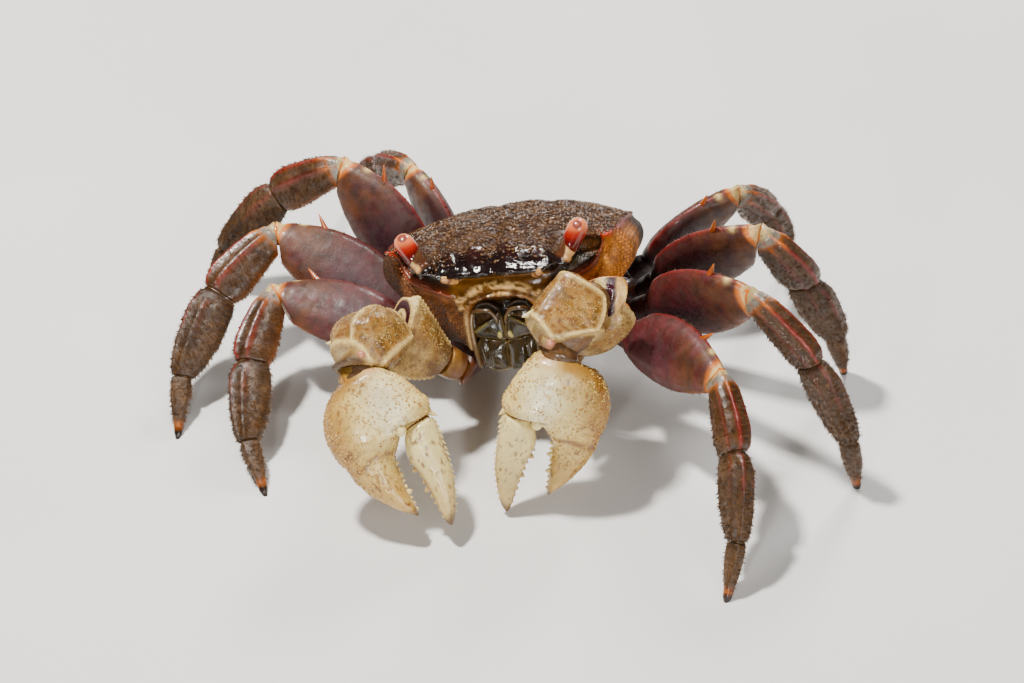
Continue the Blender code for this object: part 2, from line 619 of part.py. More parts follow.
def build_claw(side):
    """Make one claw leg: ischium, merus, carpus, palm with its fixed finger, and movable finger."""
    sign = 1.0 if side == "left" else -1.0
    hip = BODY @ Vector((sign * CLAW_HIP[0], CLAW_HIP[1], CLAW_HIP[2]))
    elbow = Vector(CLAW_ELBOW[side])
    wrist = Vector(CLAW_WRIST[side])
    palm_way = Vector(PALM_AXIS[side]).normalized()
    outside = Vector(PALM_OUTSIDE[side])
    outside = (outside - palm_way * outside.dot(palm_way)).normalized()
    inward = palm_way.cross(outside) * sign
    size = PALM_SCALE[side]
    knee = hip.lerp(elbow, 0.26)
    ischium = Segment(hip, knee, outside)
    merus = Segment(knee, elbow, inward)
    carpus = Segment(elbow, wrist, inward)
    palm = Segment(wrist, wrist + palm_way * 27.0, inward)
    first = (knee, merus.way)
    second = joint_plane(merus, carpus)
    third = joint_plane(carpus, palm)
    run = ischium.length
    rows = [(GAP / 2, -2.4, 2.4, 2.3), (run * 0.6, -2.7, 2.7, 2.6), (run, -2.7, 2.7, 2.5)]
    limb_mesh("claw_base_" + side, ischium, rows, 10, "tan", None, first, turn=0.5)
    run = merus.length
    rows = [(0.0, -2.7, 2.7, 2.5), (run * 0.25, -4.2, 4.2, 3.1), (run * 0.55, -5.4, 5.3, 3.5),
            (run * 0.82, -5.2, 5.0, 3.4), (run, -3.6, 3.4, 2.6)]
    limb_mesh("claw_merus_" + side, merus, rows, 12, "tan", first, second, power=2.6, turn=0.5)
    run = carpus.length
    rows = [(0.0, -3.4, 3.4, 2.8), (run * 0.25, -5.2, 5.2, 3.8), (run * 0.55, -5.7, 6.2, 4.2),
            (run * 0.82, -4.8, 6.0, 4.0), (run, -3.4, 3.2, 2.9)]
    wrist_piece = limb_mesh("claw_carpus_" + side, carpus, rows, 14, "tan", second, third, power=2.8, turn=0.5)
    tooth = spine((run * 0.62, 5.4, 0.0), (run * 0.8, 7.6, 0.3), 1.2, 5, carpus.matrix)
    fuse(wrist_piece, [tooth])
    build_palm(side, palm, third, size)
    build_finger(side, palm, size)


def fixed_finger_edges(x):
    """Give the lower and upper edge of the fixed finger at a place along the palm."""
    low = np.interp(x, (KNUCKLE_X, 14.4, 17.3, 20.6, 23.4), (-9.6, -9.3, -8.4, -6.6, -4.4))
    high = np.interp(x, (KNUCKLE_X, 14.4, 17.3, 20.6, 23.4), (0.4, -2.3, -3.0, -3.4, -3.6))
    return float(low), float(high)


def build_palm(side, palm, plane, size):
    """Make the swollen palm with its fixed finger and the teeth of that finger."""
    half = PALM_THICKNESS / 2
    rows = [(0.0, -3.4, 3.0, 2.8), (1.2, -6.0, 3.9, 3.7), (3.2, -8.2, 5.0, 4.3), (5.8, -9.6, 6.0, half),
            (8.6, -10.0, 6.6, half), (10.6, -9.9, 6.4, half * 0.92), (KNUCKLE_X - 0.3, -9.8, 6.1, half * 0.86)]
    for x, thick in ((KNUCKLE_X, 0.78), (12.6, 0.7), (14.4, 0.6), (17.3, 0.48), (20.6, 0.36), (22.6, 0.26),
                     (23.5, 0.12)):
        low, high = fixed_finger_edges(x)
        rows.append((x, low, high, half * thick))
    rows = [tuple(v * size for v in row) for row in rows]
    body = limb_mesh("claw_palm_" + side, palm, rows, 18, "ivory", plane, None, power=2.1, turn=0.5)
    dice = random.Random(11)
    teeth = []
    for k in range(FINGER_TEETH):
        x = 15.4 + 6.6 * k / (FINGER_TEETH - 1)
        height = (BIG_TOOTH_HEIGHT if k in BIG_TEETH else SMALL_TOOTH_HEIGHT) * dice.uniform(0.85, 1.1)
        edge = fixed_finger_edges(x)[1]
        root = Vector((x, edge - 0.45, 0.0)) * size
        tip = Vector((x + 0.15, edge + height, 0.0)) * size
        teeth.append(spine(root, tip, TOOTH_RADIUS, 5, palm.matrix))
    return fuse(body, teeth)


def build_finger(side, palm, size):
    """Make the movable finger, with sharp teeth on its outer ridge and blunt ones inside."""
    hinge = palm.matrix @ (Vector((KNUCKLE_X + GAP, FINGER_HINGE_Y, 0.0)) * size)
    turn = math.radians(FINGER_SPREAD[side])
    way = palm.matrix.to_3x3() @ Vector((math.cos(turn), math.sin(turn), 0.0))
    broad = palm.matrix.to_3x3() @ Vector((-math.sin(turn), math.cos(turn), 0.0))
    finger = Segment(hinge, hinge + way * 15.6 * size, broad)
    plane = (palm.matrix @ (Vector((KNUCKLE_X, 0.0, 0.0)) * size), palm.way)
    rows = [(0.0, -2.3, 2.5, 2.6), (1.4, -3.3, 2.6, 2.7), (3.4, -4.2, 2.0, 2.4), (6.4, -4.2, 1.1, 2.0),
            (9.6, -4.5, -0.1, 1.6), (12.6, -5.0, -1.9, 1.2), (14.6, -5.3, -3.4, 0.8), (15.6, -5.4, -4.4, 0.4)]
    rows = [tuple(v * size for v in row) for row in rows]
    body = limb_mesh("claw_finger_" + side, finger, rows, 12, "ivory", plane, None, power=2.1, turn=0.5)
    dice = random.Random(23)
    teeth = []
    xs = [row[0] for row in rows]
    for k in range(RIDGE_TEETH):
        x = size * (0.9 + 12.6 * k / (RIDGE_TEETH - 1))
        high = float(np.interp(x, xs, [row[2] for row in rows]))
        height = RIDGE_TOOTH_HEIGHT * dice.uniform(0.85, 1.15) * (1.0 - 0.35 * k / RIDGE_TEETH)
        root = Vector((x, high - 0.3, 0.0))
        teeth.append(spine(root, (x + 0.35, high + height, 0.0), TOOTH_RADIUS, 5, finger.matrix))
    for k in range(FINGER_TEETH):
        x = size * (4.4 + 8.4 * k / (FINGER_TEETH - 1))
        low = float(np.interp(x, xs, [row[1] for row in rows]))
        height = (BIG_TOOTH_HEIGHT if k in BIG_TEETH else SMALL_TOOTH_HEIGHT) * dice.uniform(0.85, 1.1)
        root = Vector((x, low + 0.45, 0.0))
        teeth.append(spine(root, (x + 0.1, low - height, 0.0), TOOTH_RADIUS, 5, finger.matrix))
    return fuse(body, teeth)


def centre_model():
    """Move every piece so that the middle of the model's box stands over the origin."""
    bpy.context.view_layer.update()
    pieces = [thing for thing in bpy.data.objects if thing.type == "MESH"]
    low = Vector((math.inf, math.inf, math.inf))
    high = -low
    for piece in pieces:
        for vertex in piece.data.vertices:
            place = piece.matrix_world @ vertex.co
            low = Vector(map(min, low, place))
            high = Vector(map(max, high, place))
    shift = Matrix.Translation((-(low.x + high.x) / 2, -(low.y + high.y) / 2, -low.z))
    for piece in pieces:
        piece.matrix_world = shift @ piece.matrix_world


def main():
    """Build every piece of the crab in its place."""
    clear_scene()
    build_carapace()
    build_breastplate()
    build_abdomen()
    build_face()
    for side in ("left", "right"):
        build_claw(side)
        for pair in (2, 3, 4, 5):
            build_leg(side, pair)
    centre_model()


main()
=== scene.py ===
"""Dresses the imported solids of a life-size land crab: shell, face, claws, legs, fine hair and stage.

Shapes are worked out in millimetres in the crab's body frame (x to its left, y to its back, z up)
or along a limb, and are brought to metres in the frame of the solids when a mesh is made.
"""
import math
from types import SimpleNamespace

import bmesh
import bpy
import numpy as np
from bpy.props import FloatProperty, FloatVectorProperty, IntProperty, PointerProperty
from mathutils import Matrix, Vector, noise


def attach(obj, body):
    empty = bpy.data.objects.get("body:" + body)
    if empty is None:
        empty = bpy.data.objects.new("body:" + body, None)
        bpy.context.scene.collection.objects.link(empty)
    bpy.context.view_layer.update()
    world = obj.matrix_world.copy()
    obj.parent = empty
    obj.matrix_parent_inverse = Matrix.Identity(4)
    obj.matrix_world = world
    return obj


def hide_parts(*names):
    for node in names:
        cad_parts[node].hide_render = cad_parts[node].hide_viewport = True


bl_info = {
    "name": "Land crab",
    "version": (1, 0, 0),
    "blender": (4, 5, 0),
    "location": "View3D > Sidebar > Land crab",
    "description": "Builds the skin, hair and stage of a life-size land crab around its solids",
    "category": "Add Mesh",
}

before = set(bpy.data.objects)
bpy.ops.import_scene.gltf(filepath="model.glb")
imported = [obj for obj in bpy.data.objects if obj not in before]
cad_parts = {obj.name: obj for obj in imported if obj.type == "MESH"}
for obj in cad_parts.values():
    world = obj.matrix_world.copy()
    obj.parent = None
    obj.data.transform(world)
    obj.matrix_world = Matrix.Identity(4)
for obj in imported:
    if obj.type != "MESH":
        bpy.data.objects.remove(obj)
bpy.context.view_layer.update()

MM = 0.001
GAP = 0.3
SIGNS = {"left": 1.0, "right": -1.0}
PAIRS = (2, 3, 4, 5)
ALONG = (1.0, 0.0, 0.0)
WORLD = Matrix.Identity(4)

# Stance of the body over the floor, and the move that centres the model
BODY_HEIGHT = 31.0
BODY_PITCH = 24.0
BODY_ROLL = 12.0
MODEL_SHIFT = (-2.425, -0.082, 0.0)

# Carapace
HALF_WIDTH = 19.0
CARAPACE_LENGTH = 33.0
DOME_HEIGHT = 2.6
MARGIN_DROP = 3.6
WALL_DEPTH = 16.2
WALL_TAPER = 0.36
REAR_TAPER = 0.16
SEAM_SLOPE = 0.25
FRONT_HALF = 10.0
FRONT_REACH = 5.0
FRONT_DROP = 4.0
CROWN = (0.0, 12.0)
CHEEK_SWELL = 2.6
HAIR_COMB = (0.0, -1.0, -0.15)

# Eyes; a grid is a number of rings and of points in each
EYE_SEAT = (11.6, -3.0, -2.4)
EYE_CENTRE = (13.8, -2.3, 0.9)
CORNEA_LENGTH = 4.4
CORNEA_REACH = 2.6
CORNEA_RADIUS = 1.62
CORNEA_CAP = 1.75
CORNEA_GRID = (60, 64)
VIEW_SIDE = (0.302, -0.925, 0.229)
STALK_RADIUS = 1.15
STALK_GRID = (36, 48)

# Mouth: outlines of the plates in x and z, and paths of the palp, the outer branch and the antenna
LOWER_PLATE = ((0.12, -19.8), (0.1, -17.4), (0.12, -15.3), (2.2, -15.0), (4.3, -14.7), (4.9, -15.8),
               (4.7, -17.4), (3.9, -19.3), (2.2, -20.2))
UPPER_PLATE = ((0.12, -15.1), (0.1, -12.8), (0.4, -10.3), (2.0, -9.0), (3.8, -9.0), (5.0, -10.4),
               (5.2, -12.8), (4.8, -14.3), (2.6, -14.8))
PLATE_GRID = (22, 60)
PALP = ((4.6, -2.9, -10.2), (3.3, -3.4, -9.9), (1.8, -3.5, -10.1), (0.9, -3.4, -11.2), (0.6, -3.3, -12.4))
BRANCH = ((4.9, -1.9, -19.4), (5.2, -2.3, -16.6), (5.4, -2.4, -13.8), (5.2, -2.4, -11.4),
          (4.7, -2.3, -10.2))
ANTENNA = ((6.3, -3.0, -4.9), (7.2, -4.0, -4.4), (8.2, -4.6, -4.0), (9.2, -4.9, -3.4), (10.3, -5.4, -2.9),
           (11.6, -6.2, -2.5))
ANTENNA_PLACES = (0.0, 0.14, 0.3, 0.4, 0.44, 0.54, 0.58, 0.8, 0.97, 1.0)
ANTENNA_RADII = (0.45, 0.68, 0.66, 0.5, 0.36, 0.32, 0.19, 0.14, 0.1, 0.04)

# Walking legs: lengths of merus with ischium, carpus, propodus and dactylus, and stance in degrees
# (heading, lean, then the slopes of carpus, propodus and dactylus)
LEG_LENGTHS = {2: (27.0, 12.5, 13.5, 9.0), 3: (30.0, 13.8, 15.0, 9.8),
               4: (28.5, 13.0, 14.0, 9.4), 5: (22.0, 10.5, 11.0, 8.0)}
LEG_HIPS = {2: (15.0, 7.0, -16.8), 3: (17.0, 12.8, -15.8),
            4: (16.8, 19.2, -14.4), 5: (13.8, 25.4, -13.0)}
LEG_SCALE = {2: 0.92, 3: 1.0, 4: 0.96, 5: 0.80}
LEG_STANCE = {
    ("left", 2): (50.0, -29.0, -36.0, -50.0, -67.0),
    ("left", 3): (30.0, 6.0, -37.0, -66.0, -84.0),
    ("left", 4): (5.0, 14.0, -60.0, -72.0, -84.0),
    ("left", 5): (-35.0, 16.0, -52.0, -66.0, -80.0),
    ("right", 2): (20.0, -62.0, -64.0, -80.0, -98.0),
    ("right", 3): (16.0, -54.0, -42.0, -62.0, -82.0),
    ("right", 4): (-12.0, -26.0, -32.0, -54.0, -76.0),
    ("right", 5): (-44.0, -4.0, -28.0, -46.0, -66.0),
}
# Painted light and shade of the thighs: the front pair brightened, the rear pairs darkened
THIGH_LIGHT_AND_SHADE = {2: 1.25, 3: 1.0, 4: 0.75, 5: 0.65}
# Grey at the base of the shin: partly joint skin, partly a painted glint
KNEE_SKIN_GLINT = (0.17, 0.16, 0.13)
TOE_RADIUS = 0.65
LEG_ROUNDNESS = 2.2
THIGH_GRID = (84, 56)
SHIN_GRID = (56, 56)
TOE_GRID = (56, 40)

# Rows of the leg pieces: share of the length, lower and upper edge as shares of the half width,
# half thickness; the neck of the merus has its edges in millimetres
MERUS_WIDTH = 11.4
MERUS_NECK = ((GAP / 2, -2.0, 2.0, 1.8), (0.1, -2.3, 2.3, 1.9))
MERUS_ROWS = ((0.2, -0.6, 0.52, 2.0), (0.32, -0.84, 0.86, 2.2), (0.48, -0.97, 1.04, 2.2),
              (0.64, -0.98, 1.03, 2.1), (0.79, -0.84, 0.86, 2.0), (0.92, -0.62, 0.56, 1.8),
              (1.0, -0.5, 0.36, 1.5))
MERUS_TOOTH = ((0.77, 0.78), (0.87, 1.16))
CARPUS_WIDTH = 7.4
CARPUS_ROWS = ((0.0, -0.62, 0.6, 1.4), (0.2, -0.72, 0.86, 1.7), (0.5, -0.86, 1.05, 1.8),
               (0.8, -0.96, 1.1, 1.8), (1.0, -0.8, 0.86, 1.5))
PROPODUS_WIDTH = 7.2
PROPODUS_ROWS = ((0.0, -0.82, 0.84, 1.5), (0.2, -0.98, 1.05, 1.7), (0.5, -0.98, 1.0, 1.7),
                 (0.8, -0.78, 0.8, 1.5), (1.0, -0.48, 0.52, 1.2))
DACTYLUS_WIDTH = 3.4
DACTYLUS_ROWS = ((0.0, -0.9, 0.95, 1.1), (0.25, -1.0, 1.0, 1.1), (0.55, -0.72, 0.8, 0.95))

# Claws: joint places over the floor, palm directions and sizes
CLAW_HIP = (8.8, -1.4, -19.2)
CLAW_ELBOW = {"left": (17.2, -10.4, 30.0), "right": (-14.2, -13.4, 21.8)}
CLAW_WRIST = {"left": (13.4, -19.0, 25.4), "right": (-17.6, -24.2, 22.6)}
CLAW_SEED = {"left": 11.0, "right": 53.0}
PALM_AXIS = {"left": (-0.22, -0.34, -0.91), "right": (0.60, -0.43, -0.67)}
PALM_OUTSIDE = {"left": (0.20, -0.90, 0.30), "right": (0.16, -0.76, 0.63)}
PALM_SCALE = {"left": 0.98, "right": 1.0}
PALM_LENGTH = 27.0
PALM_THICKNESS = 9.0
# Pale centre of the palms: their own ivory with a painted sheen
PALM_IVORY_SHEEN = (0.86, 0.83, 0.66)
BASE_SHARE = 0.26
FINGER_SPREAD = {"left": 12.0, "right": 4.0}
FINGER_LENGTH = 15.6
KNUCKLE_X = 11.4
FINGER_HINGE_Y = 3.4
ARM_GRAIN = 0.6

# Grids of the claw pieces (rings and points in each), and how square each is across
BASE_GRID = (26, 40)
BASE_ROUNDNESS = 2.4
ARM_GRID = (84, 88)
ARM_CAP_RINGS = 14
ARM_ROUNDNESS = 2.6
WRIST_GRID = (90, 108)
WRIST_ROUNDNESS = 3.4
PALM_RINGS = 52
FIXED_FINGER_RINGS = 60
PALM_POINTS = 96
FINGER_GRID = (80, 64)
FINGER_ROUNDNESS = 2.1

# Rows of the claw pieces: place along, lower and upper edge, half thickness, and a lift where there is one;
# the places are shares of the length on the base, after its first row, and on the arm, and the wrist's
# last row stands at its full length
BASE_NECK = (GAP / 2, -2.4, 2.4, 2.3)
BASE_ROWS = ((0.6, -2.7, 2.7, 2.6), (1.0, -2.7, 2.7, 2.5))
ARM_ROWS = {
    "left": ((0.0, -3.6, 2.7, 2.5), (0.2, -5.8, 3.9, 3.0), (0.5, -7.0, 4.6, 3.2), (0.8, -7.2, 4.5, 3.1),
             (0.98, -5.6, 3.4, 2.5)),
    "right": ((0.0, -2.7, 2.4, 2.5), (0.25, -4.2, 3.4, 3.1), (0.55, -5.2, 4.9, 3.4), (0.85, -5.0, 6.4, 3.0),
              (1.1, -3.6, 7.4, 2.2)),
}
WRIST_ROWS = {
    "left": ((-1.6, 0.2, 5.4, 2.2), (0.2, -2.4, 6.5, 3.4), (3.0, -3.8, 7.0, 4.1), (6.0, -3.9, 7.2, 4.2),
             (8.6, -3.2, 6.6, 3.8)),
    "right": ((0.0, -3.2, 3.6, 3.0, 0.6), (2.4, -4.2, 5.0, 4.4, 1.6), (5.6, -4.4, 5.8, 5.0, 2.4),
              (8.8, -3.8, 5.4, 4.8, 2.4)),
}
WRIST_END = {"left": (-2.2, 4.6, 3.0), "right": (-2.8, 3.6, 3.4, 0.9)}

# Wrist and arm: the tooth's foot and tip, the knob's place, the share of the length where the end rim
# stands with its slopes on both sides, and the angles of the corners
WRIST_TOOTH = {"left": ((6.9, 6.3, -1.0), (8.9, 8.0, -1.4)), "right": ((7.6, -3.4, 4.4), (9.2, -4.4, 5.6))}
WRIST_KNOB = {"left": (10.6, 2.2, -2.8), "right": (10.4, 2.3, 2.4)}
WRIST_EDGE = {"left": (0.94, 0.9, -0.42), "right": (0.97, 0.12, 0.12)}
WRIST_CORNERS = {"left": (0.78, math.pi - 0.78, math.pi + 0.78, -0.78),
                 "right": (-0.35, 1.25, math.pi + 0.35, math.pi - 1.25)}
ARM_CORNERS = {"left": (math.pi, 0.5, -0.5), "right": (0.0, math.pi - 0.5, math.pi + 0.5)}

# Palm and fingers: rows as above, the fixed finger's shares of the thickness, and the places, lower and
# upper edges that it follows
PALM_ROWS = ((0.0, -3.4, 3.0, 2.8), (1.2, -6.0, 3.9, 3.7), (3.2, -8.2, 5.0, 4.3),
             (5.8, -9.6, 6.0, PALM_THICKNESS / 2), (8.6, -10.0, 6.6, PALM_THICKNESS / 2),
             (10.6, -9.9, 6.4, PALM_THICKNESS / 2 * 0.92),
             (KNUCKLE_X - 0.3, -9.8, 6.1, PALM_THICKNESS / 2 * 0.86))
FIXED_FINGER = ((KNUCKLE_X, 0.78), (12.6, 0.7), (14.4, 0.6), (17.3, 0.48), (20.6, 0.36), (22.6, 0.26),
                (23.5, 0.12))
FIXED_FINGER_EDGES = ((KNUCKLE_X, 14.4, 17.3, 20.6, 23.4), (-9.6, -9.3, -8.4, -6.6, -4.4),
                      (0.4, -2.3, -3.0, -3.4, -3.6))
PALM_TOOTH = ((10.6, 5.7, 0.0), (12.3, 6.9, 0.0))
PALM_KNOB = (11.2, 1.0, 3.1)
KNOB_RADIUS = {"wrist": 0.7, "palm": 0.9}
FINGER_ROWS = ((0.0, -2.3, 2.5, 2.6), (1.4, -3.3, 2.6, 2.7), (3.4, -4.2, 2.0, 2.4), (6.4, -4.2, 1.1, 2.0),
               (9.6, -4.5, -0.1, 1.6), (12.6, -5.0, -1.9, 1.2), (14.6, -5.3, -3.4, 0.8),
               (15.6, -5.4, -4.4, 0.4))

# Joint skins: width, thickness and colour of each, from the body outwards
LEG_BALLS = ((1.9, 1.2, "flare"), (2.4, 1.2, "flesh"), (1.3, 0.85, "mud"))
CLAW_BALLS = ((2.3, 2.1, "rust"), (3.0, 2.4, "flesh"), (2.9, 2.5, "flesh"), (2.3, 1.9, "rust"))
JOINT_GRID = (16, 28)

# Rows of teeth and beads: how many, where the row starts and how far it reaches
SAW_TEETH = (16, 0.8, 13.2)
GRIP_TEETH = (9, 4.2, 9.6)
PALM_TEETH = (9, 15.0, 7.6)
PALM_CREST = (22, 2.4, 8.4)
FACE_BEADS = (34, 8.0, 8.4)

# Scattering: inputs of the node tree (name, kind, default), what its pieces carry only for it, how far
# they lean at random, and the length of the fur on each piece of a leg as a share of the property
SCATTER_INPUTS = (("Skin", "Geometry", None), ("Piece", "Object", None), ("Finish", "Material", None),
                  ("Density", "Float", 1000000.0), ("Length", "Float", 0.001), ("Variation", "Float", 0.3),
                  ("Lean", "Float", 0.5), ("Patch", "Float", 0.003), ("Seed", "Int", 0),
                  ("Mask", "String", "cover"))
SOURCE_LAYERS = ("Skin", "patch", "cover", "comb", "net")
JITTER = 0.35
FUR_LENGTHS = {"merus": 0.7, "carpus": 0.8, "propodus": 0.95, "dactylus": 0.85}

# Depths in metres that red, green and blue light reach under the skin
SKIN_DEPTHS = (0.0012, 0.0006, 0.0003)

# Stage: floor, lights (place, size, power, colour) and camera (azimuth, elevation and roll in degrees,
# move across and up, and distance in metres)
FLOOR_DARK = (0.76, 0.75, 0.73)
FLOOR_LIGHT = (0.8, 0.79, 0.77)
FLOOR_REACH = 3.0
LIGHTS = {
    "key": ((-0.16, 0.02, 0.5), 0.045, 5.4, (1.0, 0.96, 0.9)),
    "fill": ((0.35, -0.5, 0.32), 0.3, 2.3, (1.0, 0.98, 0.95)),
    "rim": ((0.1, 0.42, 0.34), 0.12, 1.9, (1.0, 0.99, 0.97)),
    "glint": ((-0.02, -0.48, 0.17), 0.03, 0.9, (1.0, 0.98, 0.95)),
}
LIGHT_TARGET = (0.0, 0.0, 0.02)
WORLD_COLOUR = (1.0, 0.98, 0.95, 1.0)
WORLD_STRENGTH = 0.11
CAMERA_ANGLES = (13.0, 39.5, 3.5)
CAMERA_OFFSET = (0.00254, -0.01546)
CAMERA_DISTANCE = 0.62
CAMERA_LENS = 138.8
CAMERA_SENSOR = 36.0
CAMERA_NEAR = 0.01


def tint(red, green, blue):
    """Give a linear colour from the 0 to 255 values of a colour picker."""
    parts = (value / 255 for value in (red, green, blue))
    return tuple(((v + 0.055) / 1.055) ** 2.4 if v > 10 / 255 else v / 12.92 for v in parts)


# Colours: label, description and the 0 to 255 values of a colour picker
PALETTE = {
    "back": ("Back", "Brown of the back", (60, 34, 18)),
    "brow": ("Front", "Wet purple-brown of the front", (20, 10, 9)),
    "lobe": ("Front lobes", "Reddish brown of the lobes behind the front", (52, 18, 15)),
    "rim": ("Shell rim", "Red-brown of the side rims and the ridge under the eyes", (140, 62, 30)),
    "flame": ("Eye tooth", "Orange-red of the tooth beside each eye", (226, 66, 14)),
    "cheek": ("Cheek", "Orange-brown of the side wall", (190, 110, 14)),
    # Shade: dark brown of leg mottles, toe tips and specks, and painted shade on the shell's side wall
    "shade": ("Dark brown and shade", "Dark brown of leg mottles, painted as shade on the shell's side wall", (44, 25, 13)),
    "lip": ("Lip", "Cream streaks over the mouth", (228, 186, 118)),
    "olive": ("Mouthparts", "Dark olive of the mouthparts", (40, 31, 12)),
    "moss": ("Mouth spots", "Pale yellow-green spots on the mouthparts", (170, 156, 84)),
    "ivory": ("Ivory", "Ivory of the palms and fingers", (226, 207, 138)),
    "ochre": ("Ochre", "Ochre of the lower palms", (150, 98, 14)),
    "rust": ("Rust", "Rust-brown specks on the claws", (98, 42, 8)),
    "gold": ("Gold", "Golden tan of the claw's wrist", (142, 100, 34)),
    "cream": ("Cream", "Cream of rims and joints", (226, 196, 124)),
    "wine": ("Wine", "Dark wine strip on the claw arm", (52, 12, 26)),
    "rose": ("Rose", "Pink of the claw's hinge knobs", (192, 122, 92)),
    "maroon": ("Maroon", "Maroon of the leg thighs", (70, 22, 21)),
    "ember": ("Ember", "Red of the leg margins and ridges", (126, 22, 16)),
    "flare": ("Orange joint", "Orange of the leg joints", (216, 112, 14)),
    "bark": ("Bark", "Brown of the shins", (70, 44, 20)),
    "mud": ("Mud", "Muddy brown of the feet", (78, 52, 25)),
    "stalk": ("Eyestalk", "Cream-orange of the eyestalks", (226, 172, 104)),
    "peach": ("Eye top", "Peach top of the eyes", (222, 118, 66)),
    "scarlet": ("Eye middle", "Orange-red of the eyes", (150, 24, 3)),
    "garnet": ("Eye foot", "Deep red low on the eyes", (84, 5, 2)),
    "iris": ("Eye spot", "Dark purple spot on the eyes", (70, 34, 52)),
    "straw": ("Short hair", "Pale brown of the hair on the back", (108, 73, 38)),
    "flesh": ("Joint skin", "Grey-olive of the skin in the joints", (96, 66, 36)),
    "fur": ("Leg hair", "Brown of the hair on the feet", (96, 64, 32)),
}


def colour_property(key):
    """Give the property for one colour of the palette."""
    label, words, value = PALETTE[key]
    return FloatVectorProperty(name=label, description=words, default=tint(*value), subtype="COLOR",
                               min=0.0, max=1.0)


def length_property(name, description, value, high):
    """Give the property for a length in metres."""
    return FloatProperty(name=name, description=description, default=value, min=0.0001, max=high,
                         unit="LENGTH")


def density_property(name, description, value):
    """Give the property for a number of pieces on a square metre."""
    return FloatProperty(name=name, description=description, default=value, min=0.0)


class CrabColours(bpy.types.PropertyGroup):
    """Colours of the animal."""
    __annotations__ = {key: colour_property(key) for key in PALETTE}


class CrabSizes(bpy.types.PropertyGroup):
    """Sizes and numbers of what dresses the skin."""
    granule: length_property("Granule", "Width of a granule on the palms", 0.00026, 0.002)
    granules: density_property("Granules", "Granules on a square metre of palm", 4200000.0)
    bead: length_property("Back bead", "Width of a bead on the back", 0.00062, 0.002)
    beads: density_property("Back beads", "Beads on a square metre of the back", 4600000.0)
    tuft: length_property("Back tuft", "Length of the short hair on the back", 0.0006, 0.005)
    tufts: density_property("Back tufts", "Tufts on a square metre of the back", 1500000.0)
    fur: length_property("Leg fur", "Length of the hair on the feet", 0.0006, 0.005)
    furs: density_property("Leg furs", "Tufts on a square metre of the feet", 5200000.0)
    seed: IntProperty(name="Seed", description="Seed of everything scattered", default=7, min=0)


def colours():
    """Give the palette as arrays, as the properties hold it."""
    group = bpy.context.scene.crab_colours
    return SimpleNamespace(**{key: np.array(getattr(group, key)) for key in PALETTE})


# Places

def body_matrix():
    """Place the body frame over the floor: nose up, then rolled with its left side high."""
    roll = Matrix.Rotation(-math.radians(BODY_ROLL), 4, "Y")
    pitch = Matrix.Rotation(-math.radians(BODY_PITCH), 4, "X")
    return Matrix.Translation((0.0, 0.0, BODY_HEIGHT)) @ roll @ pitch


BODY = body_matrix()
TO_METRES = Matrix.Diagonal((MM, MM, MM, 1.0)) @ Matrix.Translation(MODEL_SHIFT)


class Segment:
    """One piece of a limb between two joints, with x along it, y in its broad face and z across it."""

    def __init__(self, start, end, broad):
        self.start = Vector(start)
        self.end = Vector(end)
        self.way = (self.end - self.start).normalized()
        self.length = (self.end - self.start).length
        thin = self.way.cross(Vector(broad)).normalized()
        broad = thin.cross(self.way).normalized()
        self.matrix = Matrix((self.way, broad, thin)).transposed().to_4x4()
        self.matrix.translation = self.start

    def plane(self, point, normal):
        """Bring a plane into the segment's own frame."""
        inverse = self.matrix.inverted()
        return np.array(inverse @ Vector(point)), np.array((inverse.to_3x3() @ Vector(normal)).normalized())


def joint_plane(before, after):
    """Give the plane that halves the bend between two segments, through their shared joint."""
    return after.start, (before.way + after.way).normalized()


def leg_joints(side, pair):
    """Find the joints of one leg: the slopes are set, and the merus slope lets the toe rest."""
    sign = SIGNS[side]
    heading, lean, *slopes = [math.radians(angle) for angle in LEG_STANCE[(side, pair)]]
    across, back, low = LEG_HIPS[pair]
    hip = BODY @ Vector((sign * across, back, low))
    out = Vector((sign * math.cos(heading), -math.sin(heading), 0.0))
    ahead = Vector((math.sin(heading) * -sign, -math.cos(heading), 0.0))
    up = Vector((0.0, 0.0, math.cos(lean))) + ahead * math.sin(lean)
    lengths = LEG_LENGTHS[pair]
    fall = sum(length * math.sin(slope) for length, slope in zip(lengths[1:], slopes))
    merus = math.asin(max(-1.0, min(1.0, (-hip.z / up.z - fall) / lengths[0])))
    joints = [hip]
    for length, slope in zip(lengths, [merus] + slopes):
        joints.append(joints[-1] + out * math.cos(slope) * length + up * math.sin(slope) * length)
    return joints, up


def leg_segments(side, pair):
    """Give the four segments of a walking leg and the planes of its three joints."""
    joints, up = leg_joints(side, pair)
    pieces = [Segment(joints[k], joints[k + 1], up) for k in range(4)]
    return pieces, [joint_plane(pieces[k], pieces[k + 1]) for k in range(3)]


def claw_segments(side):
    """Give the segments of a claw leg from its base to its palm, and the planes of its joints."""
    sign = SIGNS[side]
    hip = BODY @ Vector((sign * CLAW_HIP[0], CLAW_HIP[1], CLAW_HIP[2]))
    elbow = Vector(CLAW_ELBOW[side])
    wrist = Vector(CLAW_WRIST[side])
    palm_way = Vector(PALM_AXIS[side]).normalized()
    outside = Vector(PALM_OUTSIDE[side])
    outside = (outside - palm_way * outside.dot(palm_way)).normalized()
    inward = palm_way.cross(outside) * sign
    knee = hip.lerp(elbow, BASE_SHARE)
    base = Segment(hip, knee, outside)
    merus = Segment(knee, elbow, inward)
    carpus = Segment(elbow, wrist, inward)
    palm = Segment(wrist, wrist + palm_way * PALM_LENGTH, inward)
    planes = [(knee, merus.way), joint_plane(merus, carpus), joint_plane(carpus, palm)]
    return base, merus, carpus, palm, planes


# Number helpers

def bump(value, centre, width):
    """Give a smooth hill of height 1 and the given half width."""
    return np.exp(-((value - centre) / width) ** 2)


def step(value, low, high):
    """Give a smooth rise from 0 at low to 1 at high."""
    t = np.clip((value - low) / (high - low), 0.0, 1.0)
    return t * t * (3.0 - 2.0 * t)


